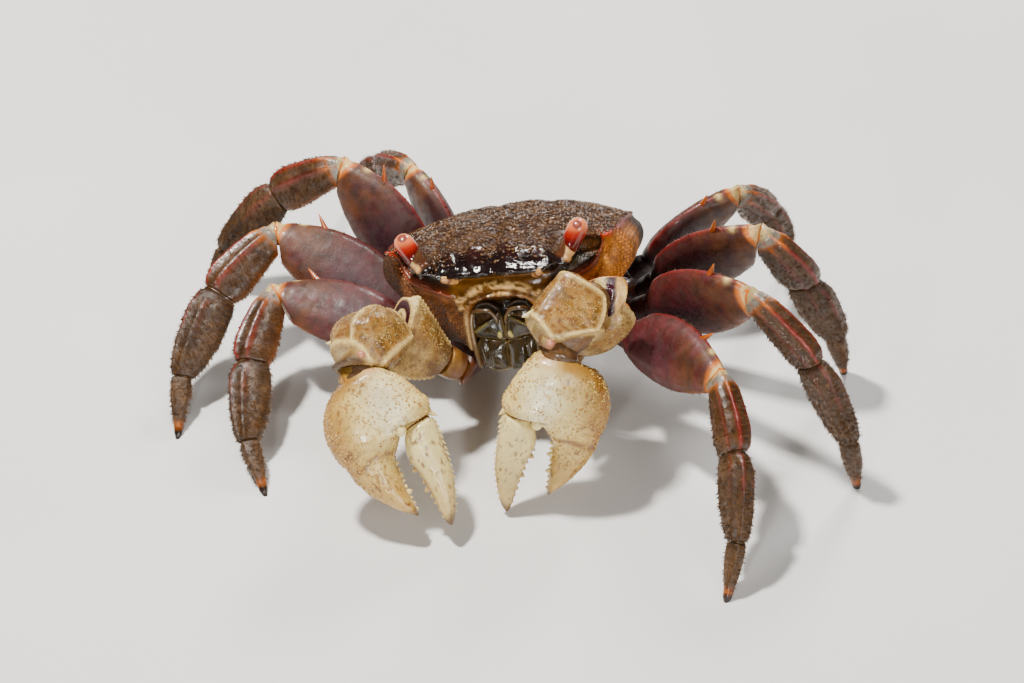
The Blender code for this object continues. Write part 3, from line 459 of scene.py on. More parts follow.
def grain(points, size, seed=0.0):
    """Give smooth noise from about -1 to 1 at each point, with lumps of the given size."""
    flat = points.reshape(-1, 3) / size + seed
    return np.array([noise.noise(Vector(p)) for p in flat]).reshape(points.shape[:-1])


def patches(points, size, seed, low, high):
    """Give soft patches of the given size, from 0 where the noise is low to 1 where it is high."""
    return step(grain(points, size, seed), low, high)


def layers(shape, ground, *coats):
    """Lay colours one over another in an array of that shape, each as far as its mask says."""
    paint = np.broadcast_to(np.asarray(ground, float), shape + (3,))
    for colour, mask in coats:
        paint = paint + (np.asarray(colour) - paint) * np.clip(mask, 0.0, 1.0)[..., None]
    return paint


def unit(vector):
    """Give the direction of a vector at length 1."""
    return vector / np.linalg.norm(vector)


def turns(count):
    """Give evenly spaced angles once round."""
    return np.linspace(0, 2 * math.pi, count, endpoint=False)


def smooth_line(knots, count, closed=False):
    """Read points evenly from a Catmull-Rom curve through knots."""
    knots = np.asarray(knots, float)
    if closed:
        padded = np.vstack([knots[-1:], knots, knots[:2]])
        places = np.linspace(0, len(knots), count, endpoint=False)
    else:
        padded = np.vstack([2 * knots[0] - knots[1], knots, 2 * knots[-1] - knots[-2]])
        places = np.linspace(0, len(knots) - 1, count)
    last = len(padded) - 4
    k = np.minimum(places.astype(int), last)
    f = (places - k)[:, None]
    a, b, c, d = padded[k], padded[k + 1], padded[k + 2], padded[k + 3]
    curve = 2 * b + (c - a) * f + (2 * a - 5 * b + 4 * c - d) * f * f + (3 * b - a - 3 * c + d) * f ** 3
    return 0.5 * curve


def grid_normals(grid):
    """Give the outward direction at each point of a closed tube of rings."""
    around = np.roll(grid, -1, 1) - np.roll(grid, 1, 1)
    along = np.gradient(grid, axis=0)
    normals = np.cross(around, along)
    normals /= np.linalg.norm(normals, axis=2, keepdims=True) + 1e-9
    outward = grid - grid.mean(1, keepdims=True)
    if (normals * outward).sum() < 0.0:
        normals = -normals
    return normals


# Meshes

def store(mesh, name, kind, values):
    """Store one value for each point of a mesh."""
    layer = mesh.attributes.new(name, kind, "POINT")
    values = np.asarray(values, np.float32)
    layer.data.foreach_set("vector" if kind == "FLOAT_VECTOR" else "value", values.ravel())


def paint_points(mesh, paint, gloss):
    """Store a colour and a roughness for each point of a mesh."""
    values = np.ones((len(mesh.vertices), 4), np.float32)
    values[:, :3] = paint
    mesh.color_attributes.new("paint", "FLOAT_COLOR", "POINT").data.foreach_set("color", values.ravel())
    store(mesh, "gloss", "FLOAT", np.broadcast_to(gloss, len(values)))


def add_object(name, mesh):
    """Make an object of a mesh and put it in the scene."""
    thing = bpy.data.objects.new(name, mesh)
    bpy.context.scene.collection.objects.link(thing)
    return thing


def plain_mesh(name, points, faces, material=None):
    """Make a mesh from points and faces."""
    mesh = bpy.data.meshes.new(name)
    mesh.from_pydata(np.asarray(points).tolist(), [], faces)
    if material:
        mesh.materials.append(material)
    return mesh


def outward_mesh(name, points, faces):
    """Make a mesh whose faces all look outwards."""
    mesh = plain_mesh(name, points, faces)
    shell = bmesh.new()
    shell.from_mesh(mesh)
    bmesh.ops.recalc_face_normals(shell, faces=shell.faces)
    shell.to_mesh(mesh)
    shell.free()
    return mesh


def settle(name, mesh, material, place):
    """Bring a mesh in millimetres to its place in the scene, with its material."""
    mesh.transform(TO_METRES @ place)
    mesh.shade_smooth()
    mesh.materials.append(material)
    return add_object(name, mesh)


def ring_faces(rings, count):
    """List the four-sided faces between the rings of a tube."""
    faces = []
    for r in range(rings - 1):
        for i in range(count):
            j = (i + 1) % count
            faces.append((r * count + i, r * count + j, (r + 1) * count + j, (r + 1) * count + i))
    return faces


def skin(name, grid, paint, gloss, material, place=BODY, cover=None, comb=ALONG):
    """Make a closed skin from rings of points in millimetres, with a colour and a roughness at each."""
    rings, count = grid.shape[:2]
    low = rings * count
    faces = ring_faces(rings, count)
    for i in range(count):
        j = (i + 1) % count
        faces.append((low, j, i))
        faces.append((low + 1, low - count + i, low - count + j))
    mesh = outward_mesh(name, with_ends(grid, rings, count), faces)
    unwrap_rings(mesh, rings, count)
    paint_points(mesh, with_ends(paint, rings, count), with_ends(gloss, rings, count))
    if cover is not None:
        store(mesh, "cover", "FLOAT", with_ends(cover, rings, count))
        lying = with_ends(np.broadcast_to(comb, grid.shape), rings, count)
        store(mesh, "comb", "FLOAT_VECTOR", lying @ np.asarray(place.to_3x3()).T)
    return settle(name, mesh, material, place)


def with_ends(values, rings, count):
    """Add the values of the two end points to those of the rings."""
    values = np.asarray(values, float)
    width = values.shape[2:]
    flat = np.broadcast_to(values, (rings, count) + width).reshape((-1,) + width)
    return np.concatenate([flat, flat[:count].mean(0)[None], flat[-count:].mean(0)[None]])


def unwrap_rings(mesh, rings, count):
    """Unwrap a tube of rings: around it along u and from its start to its end along v."""
    layer = mesh.uv_layers.new(name="Skin")
    places = np.zeros((len(mesh.loops), 2), np.float32)
    for face in mesh.polygons:
        corners = [mesh.loops[k].vertex_index for k in face.loop_indices]
        around = [c % count for c in corners]
        seam = max(around) == count - 1 and min(around) == 0
        for k, corner, u in zip(face.loop_indices, corners, around):
            if corner >= rings * count:
                places[k] = (0.5, 0.0 if corner == rings * count else 1.0)
            else:
                places[k] = ((count if seam and u == 0 else u) / count, (corner // count) / (rings - 1))
    layer.data.foreach_set("uv", places.ravel())


def join(name, things):
    """Join pieces into one object of that name."""
    with bpy.context.temp_override(active_object=things[0], selected_editable_objects=things):
        bpy.ops.object.join()
    things[0].name = name
    things[0].data.name = name
    return things[0]


def dress(thing, slot, *nodes):
    """Let a finished piece move with the body and stand for its solids."""
    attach(thing, "root")
    if nodes:
        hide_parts(*nodes)


def tube(name, path, radii, sides, paint, gloss, material, place=BODY, hint=(0.0, 1.0, 0.0)):
    """Make a closed tube round a path, with a radius and a colour for each point of the path."""
    path = np.asarray(path, float)
    angles = turns(sides)
    rings = []
    for k, point in enumerate(path):
        way = unit(path[min(k + 1, len(path) - 1)] - path[max(k - 1, 0)])
        across = unit(np.cross(way, hint))
        ring = np.outer(np.cos(angles), across) + np.outer(np.sin(angles), np.cross(across, way))
        rings.append(point + ring * radii[k])
    return skin(name, np.array(rings), paint[:, None, :], gloss, material, place)


# Materials

def plug(tree, value, socket):
    """Link an output to a socket, or set the socket to a constant."""
    if isinstance(value, bpy.types.NodeSocket):
        tree.links.new(value, socket)
    elif socket.type == "RGBA":
        socket.default_value = (*value, 1.0)
    else:
        socket.default_value = value


def add_node(tree, kind, inputs, **settings):
    """Add a node with its settings and inputs, and give its outputs."""
    node = tree.nodes.new(kind)
    for name, value in settings.items():
        setattr(node, name, value)
    for name, value in inputs.items():
        plug(tree, value, node.inputs[name])
    return node.outputs


class Recipe:
    """Builds one procedural material node by node, with lengths in millimetres of the model."""

    def __init__(self, name):
        self.material = bpy.data.materials.new(name)
        self.material.use_nodes = True
        self.tree = self.material.node_tree
        self.shader = self.tree.nodes["Principled BSDF"]
        place = self.add("TexCoord", {})["Object"]
        self.place = self.add("VectorMath", {0: place, "Scale": 1.0 / MM}, operation="SCALE")[0]

    def add(self, kind, inputs, **settings):
        """Add a shader node to the material."""
        return add_node(self.tree, "ShaderNode" + kind, inputs, **settings)

    def noise(self, size, detail=3.0, distortion=0.0):
        """Give soft noise from 0 to 1 with lumps of that size."""
        return self.add("TexNoise", {"Vector": self.place, "Scale": 1.0 / size, "Detail": detail,
                                     "Distortion": distortion})["Fac"]

    def cells(self, size, randomness=1.0):
        """Give the distance to the middle of the nearest cell, from 0 to about 1."""
        return self.add("TexVoronoi", {"Vector": self.place, "Scale": 1.0 / size,
                                       "Randomness": randomness})["Distance"]

    def span(self, value, low, high, to_low=0.0, to_high=1.0):
        """Map a span of values to another, smoothly and within its ends."""
        return self.add("MapRange", {"Value": value, "From Min": low, "From Max": high, "To Min": to_low,
                                     "To Max": to_high}, interpolation_type="SMOOTHSTEP")["Result"]

    def calc(self, operation, first, second):
        """Do one sum on two values."""
        return self.add("Math", {0: first, 1: second}, operation=operation)[0]

    def mix(self, share, first, second, blend="MIX"):
        """Mix two colours by a share."""
        return self.add("Mix", {0: share, 6: first, 7: second}, data_type="RGBA", blend_type=blend)[2]

    def attribute(self, name, output="Color"):
        """Read what is stored at the points of the piece."""
        return self.add("Attribute", {}, attribute_name=name)[output]

    def relief(self, height, depth, before=None):
        """Raise the surface by a height of that many millimetres, over the relief before it."""
        inputs = {"Strength": 1.0, "Distance": depth * MM, "Height": height}
        if before is not None:
            inputs["Normal"] = before
        return self.add("Bump", inputs)["Normal"]

    def finish(self, colour, roughness, normal=None, coat=0.0, scatter=0.0):
        """Plug the results into the shader and set its plain values."""
        inputs = {"Base Color": colour, "Roughness": roughness, "Coat Weight": coat, "Coat Roughness": 0.12,
                  "Subsurface Weight": scatter, "Subsurface Scale": 0.6, "Specular IOR Level": 0.5}
        if normal is not None:
            inputs["Normal"] = normal
        for name, value in inputs.items():
            plug(self.tree, value, self.shader.inputs[name])
        self.shader.inputs["Subsurface Radius"].default_value = SKIN_DEPTHS
        return self.material


def made_once(make):
    """Let a maker of materials give back the material of that name where it is made already."""
    def give(name, *values, **options):
        return bpy.data.materials.get(name) or make(name, *values, **options)
    return give


@made_once
def chitin(name, mottle, specks=None, pits=0.02, pit_size=0.5, net=None, coat=0.0, scatter=0.0):
    """Make shell material over the painted colours: mottling, specks, fine pits and an optional net."""
    recipe = Recipe(name)
    colour = recipe.attribute("paint")
    broad = recipe.span(recipe.noise(3.2, 4.0, 0.6), 0.32, 0.68, 1.0 - mottle, 1.0 + mottle * 0.7)
    fine = recipe.span(recipe.noise(0.55, 3.0), 0.3, 0.7, 1.0 - mottle * 0.6, 1.0 + mottle * 0.5)
    colour = recipe.mix(1.0, colour, broad, "MULTIPLY")
    colour = recipe.mix(1.0, colour, fine, "MULTIPLY")
    if specks:
        size, share, tone = specks
        spots = recipe.span(recipe.noise(size, 2.0, 0.4), 1.0 - share, 1.0 - share + 0.06, 0.0, 0.85)
        zone = recipe.span(recipe.noise(5.5, 2.0), 0.36, 0.62)
        colour = recipe.mix(recipe.calc("MULTIPLY", spots, zone), colour, tone)
    worn = recipe.span(recipe.noise(1.4, 4.0, 0.3), 0.3, 0.72, -0.09, 0.16)
    rough = recipe.calc("MAXIMUM", recipe.calc("ADD", recipe.attribute("gloss", "Fac"), worn), 0.06)
    normal = recipe.relief(recipe.noise(pit_size, 5.0), pits)
    if net:
        size, depth = net
        knots = recipe.span(recipe.cells(size, 0.35), 0.1, 0.62, 1.0, 0.0)
        strength = recipe.attribute("net", "Fac")
        normal = recipe.relief(recipe.calc("MULTIPLY", knots, strength), depth, normal)
        light = recipe.span(knots, 0.0, 1.0, 0.5, 1.4)
        netted = recipe.mix(1.0, colour, light, "MULTIPLY")
        colour = recipe.mix(strength, colour, netted)
    return recipe.finish(colour, rough, normal, coat=coat, scatter=scatter)


@made_once
def hair_material(name, colour, tip):
    """Make the material of solid hairs, darker at their roots."""
    recipe = Recipe(name)
    along = recipe.span(recipe.attribute("along", "Fac"), 0.0, 1.0)
    tone = recipe.mix(along, colour * 0.45, tip)
    tone = recipe.mix(1.0, tone, recipe.span(recipe.noise(0.9, 2.0), 0.25, 0.75, 0.6, 1.35), "MULTIPLY")
    return recipe.finish(tone, 0.38)


@made_once
def bead_material(name, low, high, gloss):
    """Make the material of repeated beads, which carry no painted colours."""
    recipe = Recipe(name)
    tone = recipe.mix(recipe.span(recipe.noise(1.6, 3.0), 0.36, 0.66), low, high)
    rough = recipe.span(recipe.noise(0.9, 3.0), 0.3, 0.7, gloss, gloss + 0.26)
    return recipe.finish(tone, rough, recipe.relief(recipe.noise(0.2, 2.0), 0.012), coat=0.4)


def shell_materials():
    """Make the materials of the hard pieces."""
    c = colours()
    return SimpleNamespace(
        shell=chitin("wet brown shell", 0.26, (0.5, 0.3, c.brow), 0.09, 0.55, (0.46, 0.09)),
        face=chitin("wet face", 0.25, None, 0.04, 0.5, coat=0.35),
        ivory=chitin("ivory claw", 0.07, (0.34, 0.34, c.rust), 0.035, 0.3, coat=0.2, scatter=0.08),
        gold=chitin("golden wrist", 0.2, (0.4, 0.38, c.rust), 0.04, 0.35, coat=0.12, scatter=0.06),
        maroon=chitin("maroon thigh", 0.26, (0.5, 0.3, c.shade), 0.03, 0.35, coat=0.1),
        shin=chitin("ridged shin", 0.34, (0.6, 0.42, c.mud), 0.05, 0.4, coat=0.12),
        foot=chitin("muddy foot", 0.4, (0.5, 0.46, c.shade), 0.07, 0.35),
        joint=chitin("joint skin", 0.16, None, 0.02, 0.3, coat=0.3, scatter=0.1),
        eye=chitin("wet eye", 0.05, None, 0.0, 0.2, coat=0.6),
    )


# Carapace

def margin_outline():
    """Give the carapace margin seen from above, from the middle of the front round its left side."""
    w = HALF_WIDTH
    back = CARAPACE_LENGTH - FRONT_REACH
    front = [(0.0, -FRONT_REACH + 0.7), (2.0, -FRONT_REACH + 0.1), (4.6, -FRONT_REACH),
             (7.4, -FRONT_REACH + 0.1), (9.2, -FRONT_REACH + 0.5), (FRONT_HALF, -FRONT_REACH + 1.6),
             (FRONT_HALF + 1.0, -1.3), (FRONT_HALF + 2.6, 0.5), (w - 4.6, 1.1), (w - 2.6, 0.7)]
    teeth = [(w - 1.0, -0.9), (w - 0.3, 1.0), (w - 0.7, 3.0), (w + 0.2, 4.0), (w + 0.3, 6.2)]
    side = smooth_line([(w, 8.0), (w - 0.5, 14.0), (w - 2.6, 20.5), (w - 6.6, 25.8),
                        (w - 11.4, back - 0.4), (0.0, back)], 15)
    half = front + teeth + [tuple(p) for p in side]
    return np.array(half + [(-x, y) for x, y in reversed(half[1:-1])])


def eased_outline(line, rounds):
    """Smooth a closed outline by moving each point towards its neighbours."""
    for _ in range(rounds):
        line = 0.5 * line + 0.25 * (np.roll(line, 1, axis=0) + np.roll(line, -1, axis=0))
    return line


def margin_height(x, y):
    """Give the height of the margin: deflexed front, level sides, low rear."""
    rear = np.clip((y - 10.0) / (CARAPACE_LENGTH - FRONT_REACH - 10.0), 0.0, 1.0)
    front = FRONT_DROP * np.clip((1.0 - y) / (FRONT_REACH + 0.6), 0.0, 1.0) ** 0.8
    front = front * step(-np.abs(x), -FRONT_HALF - 3.4, -FRONT_HALF - 1.6)
    return -MARGIN_DROP * rear ** 1.6 - front


def back_height(x, y, inward):
    """Give the height of the back inside the margin, with its lobes and grooves."""
    across = np.abs(x)
    dome = DOME_HEIGHT * (1.0 - (1.0 - np.minimum(1.0, inward * 1.25)) ** 2.2)
    height = dome - 1.1 * bump(x, 0.0, 0.9) * bump(y, 0.0, 4.0)
    height = height - 0.5 * bump(across, 6.0, 3.5) * bump(y, 13.5, 1.2)
    height = height - 0.5 * bump(across, 4.2, 0.9) * bump(y, 17.5, 5.0)
    height = height - 0.4 * bump(across, 13.5, 1.2) * bump(y, 7.2, 2.6)
    for centre, width, rise in ((2.8, 1.5, 0.5), (6.6, 1.1, 0.2)):
        height = height + rise * bump(across, centre, width) * bump(y, -2.3, 0.6)
    height = height - 0.45 * bump(y, -3.7, 0.7) * step(-across, -9.5, -7.5)
    height = height + 0.3 * bump(y, -4.9, 0.4) * step(-across, -10.0, -8.5)
    return height - 0.25 * bump(across, 9.8, 0.8) * bump(y, 0.6, 2.4)


def wall_floor(y):
    """Give the height of the shell's lower edge."""
    return -WALL_DEPTH + SEAM_SLOPE * (y + 3.0)


def ridge_height(across):
    """Give the height of the ridge under the eyes, which curves up to the tooth beside each eye."""
    return -7.3 + 0.31 * (across - 7.7) + 3.2 * (np.maximum(0.0, across - 13.5) / 3.5) ** 3


def face_depth(across):
    """Give how far back the face stands, which curves back towards its sides."""
    return -2.6 + 3.3 * (across / 15.0) ** 2


def mouth_distance(x, z):
    """Give the distance outside the arched opening of the mouth field."""
    out_x = np.abs(x) - 2.5
    out_z = z + 11.4
    corner = np.hypot(np.maximum(out_x, 0.0), np.maximum(out_z, 0.0)) - 3.0
    return np.where(out_z < 0.0, np.abs(x) - 5.5, corner)


def lip_folds(across, z):
    """Give the swollen folds over the mouth, from 0 to 1, which droop towards the sides."""
    sag = z + 0.045 * across ** 2
    rolls = np.maximum(bump(sag, -6.15, 0.62), 0.9 * bump(sag, -7.45, 0.4))
    parts = 1.0 - 0.8 * bump(across, 2.5, 0.28) - 0.7 * bump(across, 5.2, 0.25)
    return rolls * parts * step(-across, -8.0, -6.6)


def wall_ring(x, y, z, share):
    """Carry the margin down the face and the side walls by a share of the wall's depth."""
    floor = wall_floor(y)
    side = np.clip((y + 2.0) / 9.0, 0.0, 1.0)
    depth = share * floor / -WALL_DEPTH
    rear = np.clip((y - 7.0) / 9.0, 0.0, 1.0)
    px = x * (1.0 - (WALL_TAPER + REAR_TAPER * rear) * depth ** 1.5)
    swell = CHEEK_SWELL * bump(share, 0.36, 0.3) * min(1.0, share * 7.0)
    px = px + np.sign(x) * swell * step(y, -0.4, 4.0) * step(-y, -24.0, -15.0)
    py = 13.0 + (y - 13.0) * (1.0 - 0.2 * side * depth ** 1.6)
    pz = z + (floor - z) * share
    across = np.abs(px)
    face = face_depth(across) + 1.8 * np.maximum(0.0, depth - 0.75)
    ridge_z = ridge_height(across)
    ridge = -1.3 * bump(pz, ridge_z, 0.75) * step(across, 6.2, 8.5)
    groove = 0.5 * bump(pz, ridge_z - 1.7, 0.6) * step(across, 7.0, 9.5)
    folds = lip_folds(across, pz)
    hollow = 0.9 * bump(pz, -5.1, 0.4) * step(-across, -7.5, -6.0)
    orbit = 3.6 * bump(across, 13.8, 2.9) * bump(pz, -2.2, 1.7)
    gap = mouth_distance(px, pz)
    mouth = 2.0 * step(-gap, -0.2, 0.7) - 0.6 * bump(gap, 0.6, 0.45)
    weight = (1.0 - side) * np.minimum(1.0, depth * 14.0)
    py = py + (face + ridge + groove - 0.8 * folds + hollow + orbit + mouth - py) * weight
    return np.stack([px, py, pz], axis=-1)


def carapace_grid():
    """List the rings of the carapace from the crown of its back down to its lower edge."""
    outline = margin_outline()
    fine = smooth_line(outline, len(outline) * 6, closed=True)
    eased = smooth_line(eased_outline(outline, 14), len(outline) * 6, closed=True)
    rings = []
    for inward in np.concatenate([np.linspace(0.985, 0.2, 30), np.linspace(0.182, 0.02, 14)]):
        ease = min(1.0, inward * 5.0)
        x, y = (fine + (eased - fine) * ease).T
        px = x + (CROWN[0] - x) * inward
        py = y + (CROWN[1] - y) * inward
        share = (1.0 - inward) ** np.where(y < 1.0, 9.0, 3.0)
        rings.append(np.stack([px, py, margin_height(x, y) * share + back_height(px, py, inward)
                               - 0.2 * share], axis=-1))
    tops = len(rings)
    x, y = fine.T
    for share in np.concatenate([[0.0], np.linspace(0.02, 1.0, 50)]):
        rings.append(wall_ring(x, y, margin_height(x, y), share))
    return np.array(rings), tops


def build_carapace():
    """Make the carapace with its lobed front, orbits, mouth frame and netted cheeks."""
    c = colours()
    grid, tops = carapace_grid()
    x, y, z = grid[..., 0], grid[..., 1], grid[..., 2]
    across = np.abs(x)
    row = np.arange(len(grid))[:, None]
    top = step(tops + 0.5 - row, -1.5, 1.5) * np.ones_like(x)
    wall = 1.0 - top
    facing = step(-y, -5.0, -1.5)
    face = wall * facing
    front = step(-y, 1.2, 2.8) * step(-across, -12.0, -9.6) * step(z, -5.6, -4.8)
    ridge_z = ridge_height(across)
    folds = lip_folds(across, z)
    arch = mouth_distance(x, z)

    creases = (grain(grid * (0.75, 2.0, 2.0), 0.8, 3.0) * 0.2 + grain(grid, 0.42, 6.0) * 0.14) * front
    rough = (grain(grid, 0.8, 9.0) * 0.05 + grain(grid, 2.6, 5.0) * 0.12) * top
    wrinkles = 0.05 * np.sin(z * 5.2 + grain(grid, 4.0, 8.0) * 3.0) * step(-x, 7.0, 9.0)
    wrinkles = wrinkles * step(ridge_z - z, 0.8, 1.4) * step(z - ridge_z, -6.0, -2.0) * face
    swollen = folds * face * (0.3 * grain(grid, 0.9, 2.0) + 0.12 * grain(grid, 0.4, 7.0))
    grid = grid + grid_normals(grid) * (creases + rough + wrinkles + swollen)[..., None]

    ridge = bump(z, ridge_z, 0.62) * step(across, 6.4, 8.0) * face
    below = step(ridge_z - z, 0.3, 1.2) * wall
    cheek = np.maximum(below * facing, step(y, 0.2, 1.6) * wall)
    orbit = face * (1.0 - below) * step(across, 9.6, 11.0) * step(-z, -0.2, 0.6)
    lobes = bump(across, 2.9, 1.5) + 0.6 * bump(across, 7.3, 1.2)
    # Painted shade: the cheek on the crab's right side is painted at 42 % of the brightness of the left one
    cheek_with_right_shade = np.where((x < 0.0)[..., None], c.cheek * 0.42, c.cheek)
    strip = bump(y, 0.6, 1.7) * step(across, 15.0, 17.0) * cheek * step(x, 0.0, 1.0)
    margin = bump(row, tops, 2.4) * step(y, -1.0, 1.0) * step(across, 13.0, 15.0)
    upper_lip = face * step(-across, -9.0, -7.5) * step(-z, 4.3, 5.0) * (1.0 - below)
    streaks = patches(grid * (0.7, 1.0, 1.5), 1.2, 4.0, -0.36, 0.0)
    crests = face * step(folds, 0.12, 0.45)
    paint = layers(
        x.shape, c.back,
        (c.straw * 0.55, 0.5 * patches(grid, 2.2, 1.0, 0.0, 0.5) * top),
        (c.brow, front),
        (c.lobe, lobes * bump(y, -2.4, 0.8) * top),
        (cheek_with_right_shade, cheek),
        (c.cheek * (1.1, 1.35, 0.8), 0.8 * strip),
        # Painted shade: the side wall darkens towards the rear, where it turns away, and low down under the
        # body
        (c.shade, cheek * np.maximum(step(y, 7.0, 12.5), 0.8 * step(-z, 11.0, 17.0))),
        # Painted shade on the crab's right side, below the ridge under the eye
        (c.shade * 0.6, 0.7 * cheek * step(-x, 3.0, 8.0) * step(ridge_z - z, 4.0, 9.0)),
        (c.olive * 0.9, orbit),
        (c.rim, 0.95 * ridge),
        (c.ember * 0.5, margin * 0.9),
        (c.flame, 1.3 * bump(across, 18.0, 1.0) * bump(y, -0.3, 1.5) * step(z, -2.2, -0.8)),
        (c.gold * (0.62, 0.5, 0.4), upper_lip),
        (c.ochre * 0.62, 0.8 * crests),
        (c.lip * 1.3, 0.95 * crests * streaks * patches(grid, 0.7, 15.0, -0.5, 0.0)),
        (c.lip * 0.6, 0.85 * bump(arch, 0.6, 0.45) * face * step(-z, 8.6, 11.5)),
        (c.rim * 0.3, 0.85 * bump(arch, 0.6, 0.5) * face * step(z, -9.4, -8.4)),
        # Painted shade: the recessed face behind the mouthparts is painted near black, so the gaps between
        # the plates read dark
        (c.bark * 0.4, step(-arch, 0.1, 0.8) * face),
    )
    gloss = 0.42 - 0.35 * front - 0.14 * orbit - 0.3 * upper_lip - 0.08 * ridge + 0.16 * cheek
    gloss = gloss + 0.14 * cheek * step(y, 4.0, 9.0) - 0.2 * face * step(folds, 0.1, 0.4)
    bare = 0.97 * step(-y, 2.2, 3.6) * step(-across, -12.5, -10.0)
    cover = top * (1.0 - bare) * step(18.4 - across, 0.0, 0.8)
    piece = skin("shell_carapace", grid, paint, gloss, shell_materials().shell, BODY, cover, HAIR_COMB)
    net = cheek * (1.0 - step(-arch, -0.9, -0.3) * facing) * step(ridge_z - z, 1.2, 3.0) * facing
    net = np.maximum(net, cheek * step(y, 0.2, 1.6)) * (1.0 - 0.8 * strip)
    store(piece.data, "net", "FLOAT", with_ends(net, *grid.shape[:2]))
    dress(piece, "shell", "carapace")


# Underside

def build_underside():
    """Make the breastplate with the leg bases, and the folded abdomen, smoothed from their solids."""
    c = colours()
    for node, rounds, tone in (("breastplate", 3, c.maroon * 0.6), ("abdomen", 2, c.mud)):
        name = "under_" + node
        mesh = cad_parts[node].data.copy()
        mesh.name = name
        shell = bmesh.new()
        shell.from_mesh(mesh)
        bmesh.ops.remove_doubles(shell, verts=shell.verts, dist=0.000002)
        bmesh.ops.subdivide_edges(shell, edges=shell.edges, cuts=1, use_grid_fill=True)
        bmesh.ops.triangulate(shell, faces=shell.faces)
        for _ in range(rounds):
            bmesh.ops.smooth_vert(shell, verts=shell.verts, factor=0.5,
                                  use_axis_x=True, use_axis_y=True, use_axis_z=True)
        shell.to_mesh(mesh)
        shell.free()
        for layer in list(mesh.uv_layers):
            mesh.uv_layers.remove(layer)
        points = np.array([vertex.co for vertex in mesh.vertices]) / MM
        blotch = step(grain(points, 3.0, 2.0) + 0.5 * grain(points, 1.1, 5.0), -0.2, 0.7)
        paint_points(mesh, layers(blotch.shape, tone, (c.cheek * 0.32, blotch)), 0.38)
        mesh.shade_smooth()
        mesh.materials.clear()
        mesh.materials.append(shell_materials().face)
        dress(add_object(name, mesh), "underside", node)


# Eyes, mouth and antennae

def mirrored(path, sign):
    """Bring a place or path of the left side to the side of that sign."""
    return np.array(path) * (sign, 1.0, 1.0)


def ring_places(rings, count):
    """Give the share along a tube and the angle round it for each of its points."""
    return np.linspace(0.0, 1.0, rings)[:, None] * np.ones((1, count)), turns(count) * np.ones((rings, 1))


def around_axis(way, angles):
    """Give the unit directions round an axis at some angles, and the one of them that faces front."""
    across = unit(np.cross(way, (0.0, 1.0, 0.0)))
    front = np.cross(way, across)
    if front[1] > 0.0:
        front = -front
    return np.cos(angles)[..., None] * across + np.sin(angles)[..., None] * front, front


def build_eyes():
    """Make both eyestalks and wet, banded corneas."""
    for side, sign in SIGNS.items():
        seat = mirrored(EYE_SEAT, sign)
        centre = mirrored(EYE_CENTRE, sign)
        way = unit(centre - seat)
        start = centre + way * (CORNEA_REACH - CORNEA_LENGTH)
        build_stalk(side, seat - way * 1.2, start + way * 1.3)
        build_cornea(side, start, way)


def build_stalk(side, seat, end):
    """Make one eyestalk: cream in front with a dark-red strip along its inner side."""
    c = colours()
    t, angles = ring_places(*STALK_GRID)
    flat, front = around_axis(unit(end - seat), angles)
    radius = STALK_RADIUS * (1.2 - 0.1 * bump(t, 0.35, 0.2) + 0.16 * step(t, 0.4, 1.0))
    radius = radius + 0.04 * np.sin(t * 30.0) * step(-t, -0.6, -0.3)
    grid = seat + (end - seat) * t[..., None] + flat * radius[..., None]
    inner = flat[..., 0] * -SIGNS[side]
    facing = (flat * front).sum(-1)
    paint = layers(
        t.shape, c.stalk,
        (c.cream, 0.8 * step(t, 0.35, 0.8) * step(facing, -0.2, 0.5)),
        (c.garnet * 0.45, 0.94 * step(inner + 0.35 * grain(grid, 1.4, 3.0), -0.25, 0.05)),
        (c.brow, step(-t, -0.28, -0.12)),
    )
    piece = skin("eyestalk_skin_" + side, grid, paint, 0.16, shell_materials().joint)
    dress(piece, "stalk", "eyestalk_" + side)


def build_cornea(side, start, way):
    """Make one cornea: peach above, deep red at its foot, with a dark ring-shaped spot near its top."""
    c = colours()
    sign = SIGNS[side]
    t, angles = ring_places(*CORNEA_GRID)
    flat, front = around_axis(way, angles)
    facing = (flat * front).sum(-1)
    inner = flat[..., 0] * -sign
    cap = CORNEA_CAP / CORNEA_LENGTH
    over_cap = 1.0 - cap + cap * np.sin((t - 0.55) / 0.45 * math.pi / 2)
    along = np.where(t < 0.55, t / 0.55 * (1.0 - cap), over_cap)
    round_end = np.sqrt(np.maximum(0.0002, 1.0 - np.maximum(0.0, (along - 1.0 + cap) / cap) ** 2))
    radius = CORNEA_RADIUS * round_end * (0.93 + 0.07 * np.sin(np.minimum(1.0, along * 7.0) * math.pi / 2))
    slant = (0.75 * inner - 0.3 * facing) * step(-along, -0.6, 0.0)
    grid = start + way * (CORNEA_LENGTH * along + slant)[..., None] + flat * radius[..., None]
    level = along + 0.16 * inner
    toward = np.array(VIEW_SIDE) + (-0.3 * sign, 0.0, 0.0)
    toward = unit(toward - way * toward.dot(way))
    middle = toward * 0.84 * CORNEA_RADIUS + way * CORNEA_LENGTH * 0.78
    away = np.linalg.norm(grid - start - middle, axis=-1)
    paint = layers(
        t.shape, c.scarlet,
        (c.garnet, step(-level, -0.42, -0.12)),
        (c.peach, step(level, 0.36, 0.74)),
        (c.iris, 0.8 * (1.0 - step(away, 0.6, 0.95))),
        (c.peach * 0.8, 0.75 * (1.0 - step(away, 0.12, 0.34))),
    )
    dress(skin("cornea_skin_" + side, grid, paint, 0.08, shell_materials().eye), "cornea", "cornea_" + side)


def plate(outline, rise, depth, rings):
    """Give the rings of a small convex plate in the face: its outline in x and z, raised towards -y."""
    def ring(line, y):
        return np.stack([line[:, 0], np.full(len(line), y), line[:, 1]], axis=-1)

    middle = outline.mean(0)
    made = [ring(outline * (0.98, 1.0), depth + 1.4)]
    for t in np.linspace(0.0, 1.0, rings):
        swell = rise * math.sin(t * math.pi / 2) ** 0.6
        made.append(ring(outline + (middle - outline) * t * 0.97, depth - swell))
    return np.array(made)


